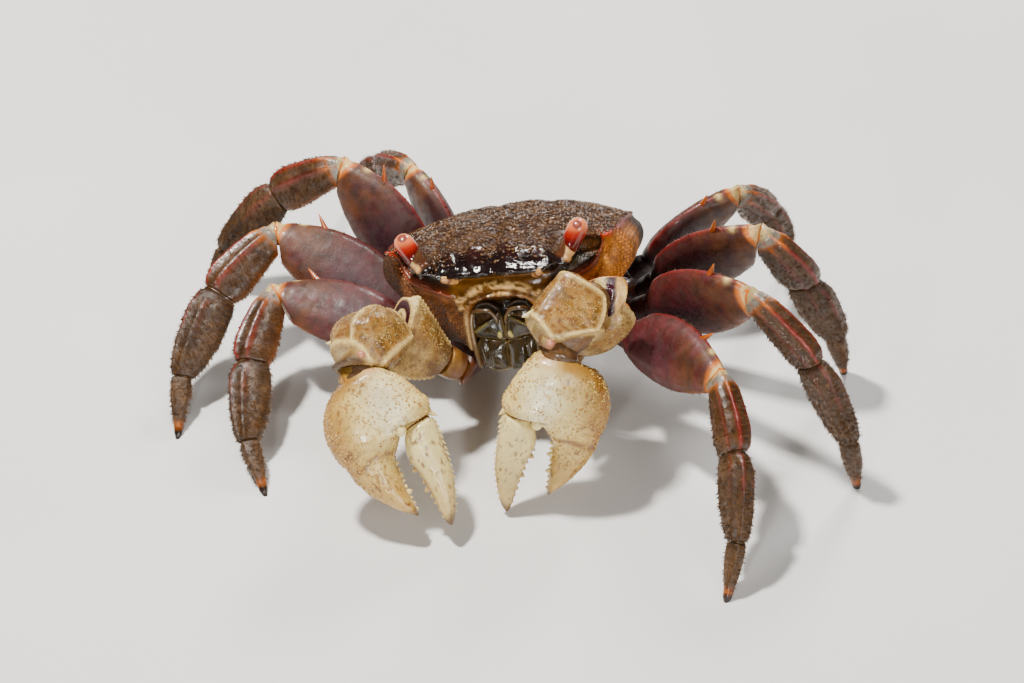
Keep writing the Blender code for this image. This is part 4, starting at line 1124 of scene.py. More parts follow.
def mouth_plate(outline, sign, rise, depth, upper):
    """Make one plate of the mouth; the upper one carries the slanting ridge and a pale spot."""
    c = colours()
    rings, count = PLATE_GRID
    grid = plate(smooth_line(np.array(outline) * (sign, 1.0), count, closed=True), rise, depth, rings)
    x, z = grid[..., 0] * sign, grid[..., 2]
    edge = np.broadcast_to(step(-np.arange(len(grid)), -4.5, -1.0)[:, None], x.shape)
    slant = (z + 10.9) + 0.62 * (x - 0.6)
    ridge = bump(slant, 0.0, 0.3) * upper
    grid[..., 1] -= 0.4 * ridge * (1.0 - edge)
    grid[..., 1] += 0.45 * step(slant, 0.2, 0.8) * upper * (1.0 - edge)
    grid[..., 1] += 0.3 * bump(x, 3.2, 0.4) * (1.0 - upper) * (1.0 - edge)
    oval = np.hypot((x - 0.85) / 0.4, (z + 14.25 + 0.3 * (x - 0.85)) / 0.62)
    paint = layers(
        x.shape, c.olive,
        (c.bark * 0.7, 0.8 * step(slant, 0.2, 0.8) * upper),
        (c.bark * 0.8, 0.5 * patches(grid, 0.9, 8.0, 0.1, 0.5)),
        (c.moss * (0.5, 0.5, 0.48), 0.6 * ridge * patches(grid, 1.1, 2.0, -0.3, 0.2)),
        (c.lip * 0.4, 0.4 * edge * step(-z, 10.6, 12.0)),
        (c.bark * 0.35, 0.85 * step(z, -11.6, -10.4) * upper),
        (c.moss * 1.25, (1.0 - step(oval, 0.75, 1.05)) * upper),
    )
    return skin("mouth_part", grid, paint, 0.16, shell_materials().face)


def mouth_rods(sign):
    """Make the palp and the outer branch of one side of the mouth."""
    c = colours()
    material = shell_materials().face
    t = np.linspace(0.0, 1.0, 26)
    radii = 0.36 - 0.16 * t ** 1.5 + 0.05 * np.sin(9.4 * t) ** 2
    radii[-3:] *= (0.9, 0.7, 0.35)
    paint = layers(t.shape, c.bark * 0.6, (c.lip * 0.5, 0.22 * t))
    path = smooth_line(mirrored(PALP, sign), len(t))
    palp = tube("mouth_palp", path, radii, 14, paint, 0.16, material)
    t = np.linspace(0.0, 1.0, 22)
    radii = 0.46 - 0.24 * t ** 2
    paint = layers(t.shape, c.bark * 0.7, (c.lip * 0.5, 0.08 + 0.32 * t))
    path = smooth_line(mirrored(BRANCH, sign), len(t))
    branch = tube("mouth_branch", path, radii, 12, paint, 0.2, material)
    return [palp, branch]


def build_mouth():
    """Make the outer mouthparts: ischium, merus with its slanting ridge, palp and outer branch."""
    for side, sign in SIGNS.items():
        plates = [mouth_plate(LOWER_PLATE, sign, 0.7, -2.0, 0.0),
                  mouth_plate(UPPER_PLATE, sign, 0.8, -2.1, 1.0)]
        dress(join("mouth_skin_" + side, plates + mouth_rods(sign)), "mouth", "mouthpart_" + side)


def build_antennae():
    """Make the antennae on their bulging bases beside the front."""
    c = colours()
    t = np.linspace(0.0, 1.0, 56)
    radii = np.interp(t, ANTENNA_PLACES, ANTENNA_RADII)
    radii = radii * (1.0 + 0.1 * np.sin(t * 120.0) * step(t, 0.58, 0.62))
    paint = layers(t.shape, c.lip * (0.8, 0.62, 0.5), (c.rim * 0.6, 0.9 * bump(t, 0.24, 0.05)),
                   (c.brow * 1.4, step(t, 0.4, 0.46)))
    for side, sign in SIGNS.items():
        path = smooth_line(mirrored(ANTENNA, sign), len(t))
        stem = tube("antenna_skin_" + side, path, radii, 22, paint, 0.14, shell_materials().face)
        dress(stem, "stalk", "antenna_" + side)


# Limbs

def limb_grid(segment, rows, size, power, start_plane=None, end_plane=None, relief=None,
              end_gap=GAP / 2, ends=(0.8, 0.8)):
    """Give the fine rings of one limb segment, cut back to its joint planes, with shares along and angles.

    The size is the number of rings, or 0 where the rows are the rings, and the number of points in each.
    """
    rings, sides = size
    fine = smooth_line(rows, rings) if rings else rows
    level = np.ones((1, sides))
    angle = turns(sides) * np.ones((len(fine), 1))
    cosine, sine = np.cos(angle), np.sin(angle)
    c = np.copysign(np.abs(cosine) ** (2 / power), cosine)
    s = np.copysign(np.abs(sine) ** (2 / power), sine)
    t = ((fine[:, 0] - fine[0, 0]) / (fine[-1, 0] - fine[0, 0]))[:, None] * level
    close = ends[0] + (1.0 - ends[0]) * np.sin(np.minimum(1.0, t / 0.05) * math.pi / 2)
    close = close * (ends[1] + (1.0 - ends[1]) * np.sin(np.minimum(1.0, (1.0 - t) / 0.05) * math.pi / 2))
    middle = (fine[:, 1] + fine[:, 2])[:, None] / 2
    high = (fine[:, 2] - fine[:, 1])[:, None] / 2
    lift = fine[:, 4][:, None] if fine.shape[1] > 4 else 0.0
    grid = np.stack([fine[:, 0][:, None] * level, middle + c * high * close,
                     lift + s * fine[:, 3][:, None] * close], axis=-1)
    if relief:
        grid = grid + grid_normals(grid) * relief(t, angle, grid)[..., None]
    if start_plane:
        cut_back(grid, segment.plane(*start_plane), GAP / 2, True)
    if end_plane:
        cut_back(grid, segment.plane(*end_plane), end_gap, False)
    return grid, t, angle


def add_cap(grid, t, angle, count):
    """Add rings that close the end of a limb, with shares that run on from 1 to 2 over the cap."""
    middle = grid[-1].mean(0)
    shares = np.linspace(0.0, 0.92, count + 1)[1:]
    bulge = 0.45 * bump(shares, 0.56, 0.12) - 0.3 * shares
    cap = np.stack([grid[-1] + (middle - grid[-1]) * share + (rise, 0.0, 0.0)
                    for share, rise in zip(shares, bulge)])
    beyond = 1.0 + shares[:, None] * np.ones((1, grid.shape[1]))
    around = np.broadcast_to(angle[-1], beyond.shape)
    return np.concatenate([grid, cap]), np.concatenate([t, beyond]), np.concatenate([angle, around])


def cut_back(grid, plane, clearance, first):
    """Push points that pass a joint plane back along the segment, and lay its end ring on the plane."""
    place, normal = plane
    reach = (grid - place) @ normal
    over = reach - clearance if first else reach + clearance
    past = over < 0.0 if first else over > 0.0
    past[0 if first else -1] = True
    grid[..., 0] -= np.where(past, over / normal[0], 0.0)


def lines_at(angle, places, width):
    """Give a mask with a soft line at each of some angles round a limb."""
    total = np.zeros_like(angle)
    for place in places:
        away = np.abs((angle - place + math.pi) % (2 * math.pi) - math.pi)
        total = np.maximum(total, np.exp(-(away / width) ** 2))
    return total


def scaled_rows(rows, run, wide):
    """Bring rows of shares to a length and a half width."""
    return [(run * share, wide * low, wide * high, thick) for share, low, high, thick in rows]


def limb_skin(part, tag, slot, grid, paint, gloss, material, place, cover=None, extras=(), node=None):
    """Make the skin of one piece of a limb, join its small extras to it and let it stand for its solid."""
    name = part + "_skin" + tag
    piece = skin(name, grid, paint, gloss, material, place, cover)
    dress(join(name, [piece, *extras]) if extras else piece, slot, (node or part) + tag)


def thorn(name, root, tip, radius, low, high, material, place):
    """Make one sharp tooth between two points."""
    root = np.array(root, float)
    t = np.linspace(0.0, 1.0, 8)
    way = np.array(tip, float) - root
    path = root - way * 0.25 + way * 1.25 * t[:, None]
    radii = radius * (1.0 - t) ** 0.8 + 0.02
    paint = layers(t.shape, low, (high, t))
    return tube(name, path, radii, 10, paint, 0.3, material, place, hint=(0.0, 0.0, 1.0))


# Walking legs

def build_thigh(segment, end, pair, tag, seed):
    """Make the broad thigh of a walking leg, with its red margin and the tooth near its end."""
    c = colours()
    material = shell_materials().maroon
    run = segment.length
    wide = MERUS_WIDTH * LEG_SCALE[pair] / 2
    # The thigh colour carries painted light and shade by pair: brighter in front, darker towards the rear
    tone = c.maroon * THIGH_LIGHT_AND_SHADE[pair]
    first, (share, *neck) = MERUS_NECK
    rows = [first, (run * share, *neck)] + scaled_rows(MERUS_ROWS, run, wide)

    def relief(t, angle, grid):
        crest = 0.3 * lines_at(angle, (0.0,), 0.16) * step(t, 0.2, 0.35)
        rugae = np.sin(grid[..., 0] * 6.5 + grain(grid, 2.2, seed) * 5.0) * 0.012 * step(t, 0.2, 0.4)
        return crest + rugae - 0.35 * bump(t, 0.155, 0.022) + 0.05 * grain(grid, 1.3, seed)

    grid, t, angle = limb_grid(segment, rows, THIGH_GRID, LEG_ROUNDNESS, None, end, relief)
    edge = lines_at(angle, (0.0,), 0.3)
    lower = lines_at(angle, (math.pi,), 0.35)
    paint = layers(
        t.shape, tone,
        (tone * 0.4, 0.8 * step(-t, -0.3, -0.05)),
        (c.wine * THIGH_LIGHT_AND_SHADE[pair], 0.8 * bump(np.cos(angle), -0.1, 0.5) * bump(t, 0.5, 0.3)),
        (c.bark * (1.5, 1.1, 0.7), 0.8 * step(t, 0.58, 0.82) * patches(grid, 2.6, seed, -0.6, 0.2)),
        (c.shade, 0.5 * patches(grid, 1.7, seed + 9.0, 0.1, 0.5)),
        (c.ember * 0.8, 0.75 * lines_at(angle, (0.0,), 0.15) * step(t, 0.15, 0.3)),
        (c.flare * 0.5, 0.5 * lower * step(t, 0.5, 0.9)),
        (c.flare * 0.8, step(t, 0.945, 0.975)),
        (c.cream * 0.8, 0.8 * step(t, 0.975, 0.99)),
        (c.cream, 0.9 * bump(t, 0.9, 0.02) * edge),
    )
    root, tip = [(run * share, wide * high, 0.0) for share, high in MERUS_TOOTH]
    tooth = thorn("merus_tooth" + tag, root, tip, 0.7, c.ember * 0.8, c.flare * 0.7, material, segment.matrix)
    gloss = 0.5 + 0.06 * grain(grid, 2.0, seed)
    cover = 0.16 * edge * step(t, 0.3, 0.5) + 0.1 * lower
    limb_skin("merus", tag, "thigh", grid, paint, gloss, material, segment.matrix, cover, [tooth])


def shin_relief(seed):
    """Give the relief of a shin: long ridges and a fine grain."""
    def relief(t, angle, grid):
        ridges = 0.34 * lines_at(angle, (0.5, 1.25, -0.5, -1.25), 0.15) * step(t, 0.06, 0.25)
        return ridges + 0.08 * grain(grid, 0.9, seed)

    return relief


def ridges_of(angle):
    """Give the mask of the long ridges of a shin, strongest beside its upper edge."""
    return np.maximum(lines_at(angle, (0.5, -0.5), 0.15), 0.55 * lines_at(angle, (1.35, -1.35), 0.12))


def build_shin(segment, start, end, pair, tag, seed):
    """Make the first piece of the shin, orange and pale at the knee, the pale partly joint skin and partly a
    painted glint, and red along its ridges.
    """
    c = colours()
    rows = scaled_rows(CARPUS_ROWS, segment.length, CARPUS_WIDTH * LEG_SCALE[pair] / 2)
    grid, t, angle = limb_grid(segment, rows, SHIN_GRID, LEG_ROUNDNESS, start, end, shin_relief(seed))
    ridges = ridges_of(angle)
    paint = layers(
        t.shape, c.bark,
        (c.shade, 0.6 * patches(grid, 2.0, seed + 2.0, 0.0, 0.4)),
        (c.flare * 0.55, 0.8 * lines_at(angle, (math.pi,), 0.45)),
        (c.ember, 0.9 * ridges * step(t, 0.08, 0.3)),
        (c.flare, 0.95 * step(-t, -0.36, -0.1) * np.maximum(ridges, 0.5 * step(-t, -0.22, -0.08))),
        # Joint skin and a painted glint at the knee
        (KNEE_SKIN_GLINT, 0.95 * step(-t, -0.15, -0.1) * (1.0 - 0.7 * ridges)),
        (c.cream * 0.8, 0.8 * bump(t, 0.0, 0.02)),
    )
    limb_skin("carpus", tag, "shin", grid, paint, 0.36, shell_materials().shin, segment.matrix,
              (0.75 - 0.7 * ridges) * step(t, 0.16, 0.34))


def build_foot(segment, start, end, pair, tag, seed):
    """Make the muddy second piece of the shin."""
    c = colours()
    rows = scaled_rows(PROPODUS_ROWS, segment.length, PROPODUS_WIDTH * LEG_SCALE[pair] / 2)
    grid, t, angle = limb_grid(segment, rows, SHIN_GRID, LEG_ROUNDNESS, start, end, shin_relief(seed))
    ridges = ridges_of(angle) * step(-t, -0.7, -0.3)
    paint = layers(
        t.shape, c.mud * 0.8,
        (c.ember * 0.8, 0.7 * ridges),
        (c.bark * 0.7, 0.6 * patches(grid, 2.0, seed + 4.0, 0.0, 0.4)),
    )
    limb_skin("propodus", tag, "foot", grid, paint, 0.45, shell_materials().foot, segment.matrix,
              (0.6 + 0.4 * step(t, 0.3, 0.8)) * (1.0 - 0.5 * ridges))


def build_toe(segment, start, place, pair, tag, seed):
    """Make the toe, which ends flat on the floor at its place."""
    c = colours()
    run = segment.length
    toe = TOE_RADIUS
    rows = scaled_rows(DACTYLUS_ROWS, run, DACTYLUS_WIDTH * LEG_SCALE[pair] / 2)
    rows += [(run * 0.82, -toe * 1.2, toe * 1.3, 0.75), (run, -toe, toe, toe)]
    floor = (Vector((place.x, place.y, 0.0)), Vector((0.0, 0.0, -1.0)))

    def relief(t, angle, grid):
        ridges = 0.16 * lines_at(angle, (0.6, 2.2, -0.6, -2.2), 0.22) * step(-t, -0.8, -0.5)
        return ridges + 0.03 * grain(grid, 0.8, seed)

    grid, t, angle = limb_grid(segment, rows, TOE_GRID, LEG_ROUNDNESS, start, floor, relief, 0.0,
                               (0.8, 0.75))
    paint = layers(
        t.shape, c.mud,
        (c.bark * 0.6, 0.6 * patches(grid, 1.6, seed, 0.0, 0.4)),
        (c.flare * 0.35, step(t, 0.72, 0.82)),
        (c.shade * 0.5, step(t, 0.84, 0.95)),
    )
    limb_skin("dactylus", tag, "foot", grid, paint, 0.45 - 0.2 * step(t, 0.75, 0.9), shell_materials().foot,
              segment.matrix, 0.9 * step(-t, -0.84, -0.7))


def leg_tag(side, pair):
    """Give the end of the names of one walking leg."""
    return "_" + side + "_" + str(pair)


def build_legs():
    """Make the skins of every walking leg from thigh to toe."""
    for side in SIGNS:
        for pair in PAIRS:
            (thigh, shin, foot, toe), planes = leg_segments(side, pair)
            own = (pair, leg_tag(side, pair), pair * 3.1 + (0.0 if side == "left" else 40.0))
            build_thigh(thigh, planes[0], *own)
            build_shin(shin, planes[0], planes[1], *own)
            build_foot(foot, planes[1], planes[2], *own)
            build_toe(toe, planes[2], leg_joints(side, pair)[0][-1], *own)


# Claws

def build_claws():
    """Make the skins of both claw legs: base, merus, wrist, palm and movable finger."""
    for side in SIGNS:
        base, merus, carpus, palm, planes = claw_segments(side)
        seed = CLAW_SEED[side]
        build_base(side, base, planes[0], seed)
        build_arm(side, merus, planes[0], planes[1], seed)
        build_wrist(side, carpus, planes[1], planes[2], seed)
        build_palm(side, palm, planes[2], seed)
        build_finger(side, palm, seed)


def build_base(side, base, end, seed):
    """Make the short base of a claw leg."""
    c = colours()
    rows = [BASE_NECK] + scaled_rows(BASE_ROWS, base.length, 1.0)
    grid, t, _ = limb_grid(base, rows, BASE_GRID, BASE_ROUNDNESS, None, end)
    paint = layers(t.shape, c.gold * 0.8, (c.maroon, 0.7 * patches(grid, 2.2, seed, -0.1, 0.4)))
    limb_skin("claw_base", "_" + side, "claw_arm", grid, paint, 0.35, shell_materials().gold, base.matrix)


def build_arm(side, merus, start, end, seed):
    """Make the three-edged arm of a claw: a grainy plate with notched edges, and a striped end."""
    c = colours()
    corners = ARM_CORNERS[side]

    def relief(t, angle, grid):
        notches = 0.5 + 0.5 * np.sin(grid[..., 0] * 8.0)
        rims = lines_at(angle, corners, 0.14)
        return rims * (0.3 + 0.22 * notches) + 0.06 * grain(grid, 0.9, seed) + 0.04 * grain(grid, 0.45, seed)

    rows = scaled_rows(ARM_ROWS[side], merus.length, 1.0)
    limb = limb_grid(merus, rows, ARM_GRID, ARM_ROUNDNESS, start, end, relief)
    grid, t, angle = add_cap(*limb, ARM_CAP_RINGS)
    y = grid[..., 1]
    outer = step(np.sin(angle) * SIGNS[side], -0.1, 0.3)
    edges = (c.cream, 0.9 * lines_at(angle, corners, 0.17) * step(-t, -1.1, -1.0))
    if side == "left":
        cap = step(t, 1.0, 1.05)
        slant = y + 0.4 * grid[..., 2]
        coats = (
            (c.wine, 0.95 * outer * bump(y, -0.2, 1.0) * step(t, 0.1, 0.3)),
            (c.cream, 0.95 * outer * bump(y, 2.2, 0.7)),
            edges,
            (c.cream * (0.86, 0.7, 0.44), cap),
            (c.gold * 1.1, 0.7 * cap * patches(grid, 1.1, seed + 2.0, -0.1, 0.4)),
            (c.wine, cap * step(slant, -3.5, -3.1)),
            (c.cream, 0.95 * cap * step(slant, -1.9, -1.6)),
            (c.flesh, cap * step(slant, -0.5, 0.0)),
        )
    else:
        coats = (
            (c.bark, 0.7 * step(-t, -0.4, -0.1)),
            (c.cream, 0.8 * step(t, 0.9, 0.97)),
            edges,
            (c.wine, step(t, 1.04, 1.1)),
            (c.cream, 0.95 * step(t, 1.42, 1.46)),
            (c.flesh, step(t, 1.68, 1.74)),
        )
    paint = layers(
        t.shape, c.cheek,
        (c.gold, outer),
        (c.cream * 0.85, 0.4 * outer * patches(grid, 2.2, seed, -0.2, 0.4)),
        (c.rust, 0.65 * patches(grid, 0.5, seed + 6.0, 0.18, 0.4)),
        *coats,
    )
    limb_skin("claw_merus", "_" + side, "claw_arm", grid, paint, 0.42 - 0.15 * step(t, 1.0, 1.1),
              shell_materials().gold, merus.matrix, outer * step(t, 0.06, 0.15) * step(-t, -1.02, -0.98))


def build_wrist(side, carpus, start, end, seed):
    """Make the wrist of a claw: a boxy knuckle whose grainy faces stand between raised cream rims."""
    c = colours()
    materials = shell_materials()
    run = carpus.length
    corners = WRIST_CORNERS[side]
    knob = np.array(WRIST_KNOB[side])
    rows = WRIST_ROWS[side] + ((run, *WRIST_END[side]),)

    def edge_of(grid):
        share, inner, outer = WRIST_EDGE[side]
        y = grid[..., 1] - 2.2
        return grid[..., 0] - (share * run + np.where(y > 0.0, outer, inner) * y)

    def rims_of(t, angle, grid):
        sides = np.maximum(lines_at(angle, corners[:3], 0.1), 0.3 * lines_at(angle, corners[3:], 0.1))
        sides = sides * step(t, 0.04, 0.14) * step(-edge_of(grid), -0.5, 0.2)
        return np.maximum(sides, np.maximum(bump(edge_of(grid), 0.0, 0.42), 0.8 * bump(t, 0.09, 0.035)))

    def relief(t, angle, grid):
        notches = 0.5 + 0.5 * np.sin(grid[..., 0] * 8.0 + angle * 34.0)
        rims = rims_of(t, angle, grid)
        ring = np.hypot((grid[..., 0] - 5.6) / 2.6, (angle - corners[0] - 0.8) / 0.42)
        dents = 0.16 * grain(grid, 1.5, seed) + 0.07 * grain(grid, 0.6, seed) + 0.22 * bump(ring, 1.0, 0.22)
        return rims * (0.32 + 0.16 * notches) + dents * (1.0 - rims) - 0.75 * step(edge_of(grid), 0.2, 0.9)

    start = start if side == "right" else None
    grid, t, angle = limb_grid(carpus, rows, WRIST_GRID, WRIST_ROUNDNESS, start, end, relief)
    rims = rims_of(t, angle, grid)
    edge = edge_of(grid)
    away = np.linalg.norm(grid - knob, axis=-1)
    paint = layers(
        t.shape, c.gold,
        (c.cream * 0.6, 0.3 * patches(grid, 1.6, seed + 1.0, -0.1, 0.5)),
        (c.gold * 0.45, 0.8 * patches(grid, 0.9, seed + 3.0, 0.08, 0.4)),
        (c.rust * 0.8, 0.5 * step(-t, -0.34, -0.1) * patches(grid, 0.7, seed, -0.3, 0.3)),
        (c.rust * 0.9, 0.8 * lines_at(angle, corners[3:], 0.4) * patches(grid, 0.6, seed, -0.2, 0.2)),
        (c.rust, 0.7 * patches(grid, 0.5, seed + 6.0, 0.2, 0.4)),
        (c.flesh * (1.2 if side == "left" else 0.6), 0.9 * step(edge, 0.4, 0.9)),
        (c.cream, 0.92 * rims),
        (c.rose, 0.8 * (1.0 - step(away, 0.5, 1.5))),
    )
    root, tip = WRIST_TOOTH[side]
    tooth = thorn("wrist_tooth", root, tip, 1.0, c.cream, c.ivory, materials.gold, carpus.matrix)
    seat = grid.reshape(-1, 3)[np.argmin(away)] * (1.0, 1.0, 0.9)
    seat = carpus.matrix @ Vector(seat)
    ball = knob_ball("wrist_knob", seat, KNOB_RADIUS["wrist"], c.rose, materials.joint)
    cover = (1.0 - 0.6 * rims) * step(-edge, -0.4, 0.0) * step(t, 0.03, 0.1)
    limb_skin("claw_wrist", "_" + side, "claw_arm", grid, paint, 0.4 - 0.06 * rims, materials.gold,
              carpus.matrix, cover, [tooth, ball], "claw_carpus")


def knob_ball(name, centre, radius, colour, material):
    """Make a round knob at a place over the floor."""
    turn = np.linspace(0.02, math.pi - 0.02, 18)
    path = np.array(centre) + np.outer(np.cos(turn), (0.0, 0.0, -radius))
    return tube(name, path, radius * np.sin(turn), 24, layers(turn.shape, colour), 0.2, material, WORLD)


def fixed_finger_edges(x):
    """Give the lower and upper edge of the fixed finger at a place along the palm."""
    spots, low, high = FIXED_FINGER_EDGES
    return float(np.interp(x, spots, low)), float(np.interp(x, spots, high))


def flecks(grid, seed, zone):
    """Give the short streaks of rust that speckle the ivory within a zone."""
    fleck = patches(grid * (0.6, 1.5, 1.0), 0.5, seed, 0.24, 0.42)
    return 0.8 * fleck * zone * patches(grid, 2.2, 1.0, -0.35, 0.2)


def build_palm(side, palm, start, seed):
    """Make the swollen ivory palm with its fixed finger."""
    c = colours()
    material = shell_materials().ivory
    size = PALM_SCALE[side]
    finger = [(x, *fixed_finger_edges(x), PALM_THICKNESS / 2 * thick) for x, thick in FIXED_FINGER]
    rows = np.vstack([smooth_line(PALM_ROWS, PALM_RINGS), smooth_line(finger, FIXED_FINGER_RINGS)]) * size
    outward = -SIGNS[side]

    def relief(t, angle, grid):
        x, y = grid[..., 0] / size, grid[..., 1] / size
        pebbles = 0.05 * grain(grid, 0.75, seed) + 0.09 * grain(grid, 3.4, seed)
        socket = -0.3 * bump(x - 0.22 * (y - 1.0), 10.7, 0.32) * step(y, -0.4, 0.6)
        swell = 0.35 * bump(x, 9.4, 1.2) * step(y, 0.0, 2.0)
        keel = 0.22 * lines_at(angle, (math.pi / 2, -math.pi / 2), 0.5) * step(x, 12.5, 15.5)
        return pebbles + socket + swell + keel

    grid, t, angle = limb_grid(palm, rows, (0, PALM_POINTS), FINGER_ROUNDNESS, start, None, relief,
                               ends=(0.8, 0.7))
    x, y = grid[..., 0] / size, grid[..., 1] / size
    inside = step(-np.sin(angle) * outward, 0.0, 0.5)
    # The palm's centre: its own pale ivory, which also carries a painted sheen
    pale = bump(x, 6.6, 5.0) * bump(y, 1.0, 4.6)
    low = step(-(y + 0.3 * x), -1.0, 7.4) ** 1.3
    crease = bump(x + 0.6 * grain(grid, 2.0, seed), 13.1 + 0.03 * (y + 5.0) ** 2, 0.6) * step(-y, 1.2, 2.6)
    zone = np.clip(0.25 + low + step(x, 11.0, 14.0) + step(-x, -4.5, -1.5), 0.0, 1.0)
    stain = 1.0 - step(np.hypot(x - 10.2, (y + 7.4) * 0.8), 0.3, 1.5)
    paint = layers(
        t.shape, c.ivory,
        (c.ivory * (0.94, 0.8, 0.5), 0.8 * (1.0 - pale)),
        # Painted sheen over the pale ivory of the palm's centre
        (PALM_IVORY_SHEEN, 0.6 * pale * bump(y, 1.4, 3.4)),
        (c.ochre, 0.85 * low + 0.25 * patches(grid, 3.0, seed, 0.0, 0.5) + 0.3 * inside),
        (c.ochre * 0.9, 0.85 * step(-x, -3.4, -0.4) * step(-y, -2.5, 1.5)),
        (c.ochre, 0.5 * step(x, 13.5, 18.0)),
        (c.rust, 0.7 * bump(x - 0.22 * (y - 1.0), 10.72, 0.22) * step(y, -1.4, 0.2)),
        (c.rust * 1.1, 0.8 * crease * patches(grid, 1.6, seed + 4.0, -0.5, 0.1)),
        (c.rust, flecks(grid, seed + 2.0, zone)),
        (c.rust, 0.8 * stain * patches(grid, 0.8, seed, -0.3, 0.3)),
        (c.rust * 0.5, 0.75 * step(x, 21.6, 23.4)),
        (c.rose, 0.55 * bump(x, 0.6, 1.0) * bump(y, 2.0, 1.2) * (1.0 - inside)),
    )
    cover = step(np.sin(angle) * outward, -0.35, 0.1) * (0.55 + 0.45 * low) * step(x, 0.8, 2.4)
    cover = np.clip(cover + 0.7 * step(np.abs(np.cos(angle)), 0.75, 0.95), 0.0, 1.0) * step(-x, -21.0, -17.0)
    root, tip = [tuple(v * size for v in place) for place in PALM_TOOTH]
    tooth = thorn("palm_tooth", root, tip, 0.8, c.ivory, c.cream, material, palm.matrix)
    x, y, z = PALM_KNOB
    seat = palm.matrix @ (Vector((x, y, z * outward)) * size)
    knob = knob_ball("palm_knob", seat, KNOB_RADIUS["palm"] * size, c.ivory, material)
    limb_skin("claw_palm", "_" + side, "claw", grid, paint, 0.22 + 0.16 * low, material, palm.matrix,
              cover, [tooth, knob])


def finger_segment(side, palm):
    """Place the movable finger on the palm's joint face, opened by its spread."""
    size = PALM_SCALE[side]
    hinge = palm.matrix @ (Vector((KNUCKLE_X + GAP, FINGER_HINGE_Y, 0.0)) * size)
    turn = math.radians(FINGER_SPREAD[side])
    way = palm.matrix.to_3x3() @ Vector((math.cos(turn), math.sin(turn), 0.0))
    broad = palm.matrix.to_3x3() @ Vector((-math.sin(turn), math.cos(turn), 0.0))
    plane = (palm.matrix @ (Vector((KNUCKLE_X, 0.0, 0.0)) * size), palm.way)
    return Segment(hinge, hinge + way * FINGER_LENGTH * size, broad), plane


def build_finger(side, palm, seed):
    """Make the movable finger, ivory with a brown tip."""
    c = colours()
    finger, start = finger_segment(side, palm)

    def relief(t, angle, grid):
        keel = 0.16 * lines_at(angle, (math.pi / 2, -math.pi / 2), 0.4)
        return keel + 0.05 * grain(grid, 0.75, seed)

    rows = np.array(FINGER_ROWS) * PALM_SCALE[side]
    grid, t, angle = limb_grid(finger, rows, FINGER_GRID, FINGER_ROUNDNESS, start, None, relief,
                               ends=(0.85, 0.7))
    paint = layers(
        t.shape, c.ivory,
        (c.ochre, 0.45 * step(t, 0.1, 0.9) + 0.5 * lines_at(angle, (0.0, math.pi), 0.35)),
        (c.rust, flecks(grid, seed + 7.0, 1.0)),
        (c.rust * 0.45, 0.85 * step(t, 0.86, 0.97)),
    )
    limb_skin("claw_finger", "_" + side, "claw", grid, paint, 0.34, shell_materials().ivory, finger.matrix)


# Joint skin

def joint_ball(before, after, width, thick, colour):
    """Make the soft, folded bulge of skin that fills one joint."""
    centre = np.array(after.start)
    way = np.array((before.way + after.way).normalized())
    across = unit(np.cross(way, np.array(after.matrix.to_3x3() @ Vector((0.0, 1.0, 0.0)))))
    broad = np.cross(across, way)
    rings, count = JOINT_GRID
    t = np.linspace(-0.98, 0.98, rings)[:, None]
    angle = turns(count)[None, :]
    radius = np.sqrt(1.0 - t * t)
    bulge = (way * (t * thick * 1.1)[..., None] + broad * (np.cos(angle) * radius * width)[..., None]
             + across * (np.sin(angle) * radius * thick)[..., None])
    grid = centre + bulge * (1.0 + 0.03 * np.cos(t * 11.0))[..., None]
    paint = layers((rings, count), colour, (colour * 0.7, 0.5 + 0.5 * np.cos(t * 11.0)))
    return skin("joint_ball", grid, paint, 0.25, shell_materials().joint, WORLD)


def joint_balls(name, limbs):
    """Make the joint skins of some limbs in one piece; each has its segments, scale and list of balls."""
    c = colours()
    made = []
    for segments, scale, balls in limbs:
        for before, after, (width, thick, tone) in zip(segments, segments[1:], balls):
            made.append(joint_ball(before, after, width * scale, thick * scale, getattr(c, tone)))
    dress(join(name, made), "stalk")


def build_joints():
    """Make the joint skins of every limb."""
    for side in SIGNS:
        legs = [(leg_segments(side, pair)[0], LEG_SCALE[pair], LEG_BALLS) for pair in PAIRS]
        joint_balls("joint_skin_legs_" + side, legs)
        claw = claw_segments(side)[:4]
        claw += (finger_segment(side, claw[3])[0],)
        joint_balls("joint_skin_claw_" + side, [(claw, 1.0, CLAW_BALLS)])


# What repeats: granules, teeth and hair

def source_mesh(name, rings, count, shape, material=None):
    """Make the small mesh that is repeated: a tapered, bent cone of a few faces, one unit long."""
    points = []
    for r in range(rings):
        radius, lean = shape(r / rings)
        for i in range(count):
            a = 2 * math.pi * i / count
            points.append((lean + radius * math.cos(a), radius * math.sin(a), r / rings))
    points.append((shape(1.0)[1], 0.0, 1.0))
    last = (rings - 1) * count
    faces = ring_faces(rings, count)
    faces += [(last + i, last + (i + 1) % count, last + count) for i in range(count)]
    faces.append(tuple(reversed(range(count))))
    return bpy.data.objects.new(name, plain_mesh(name, points, faces, material))


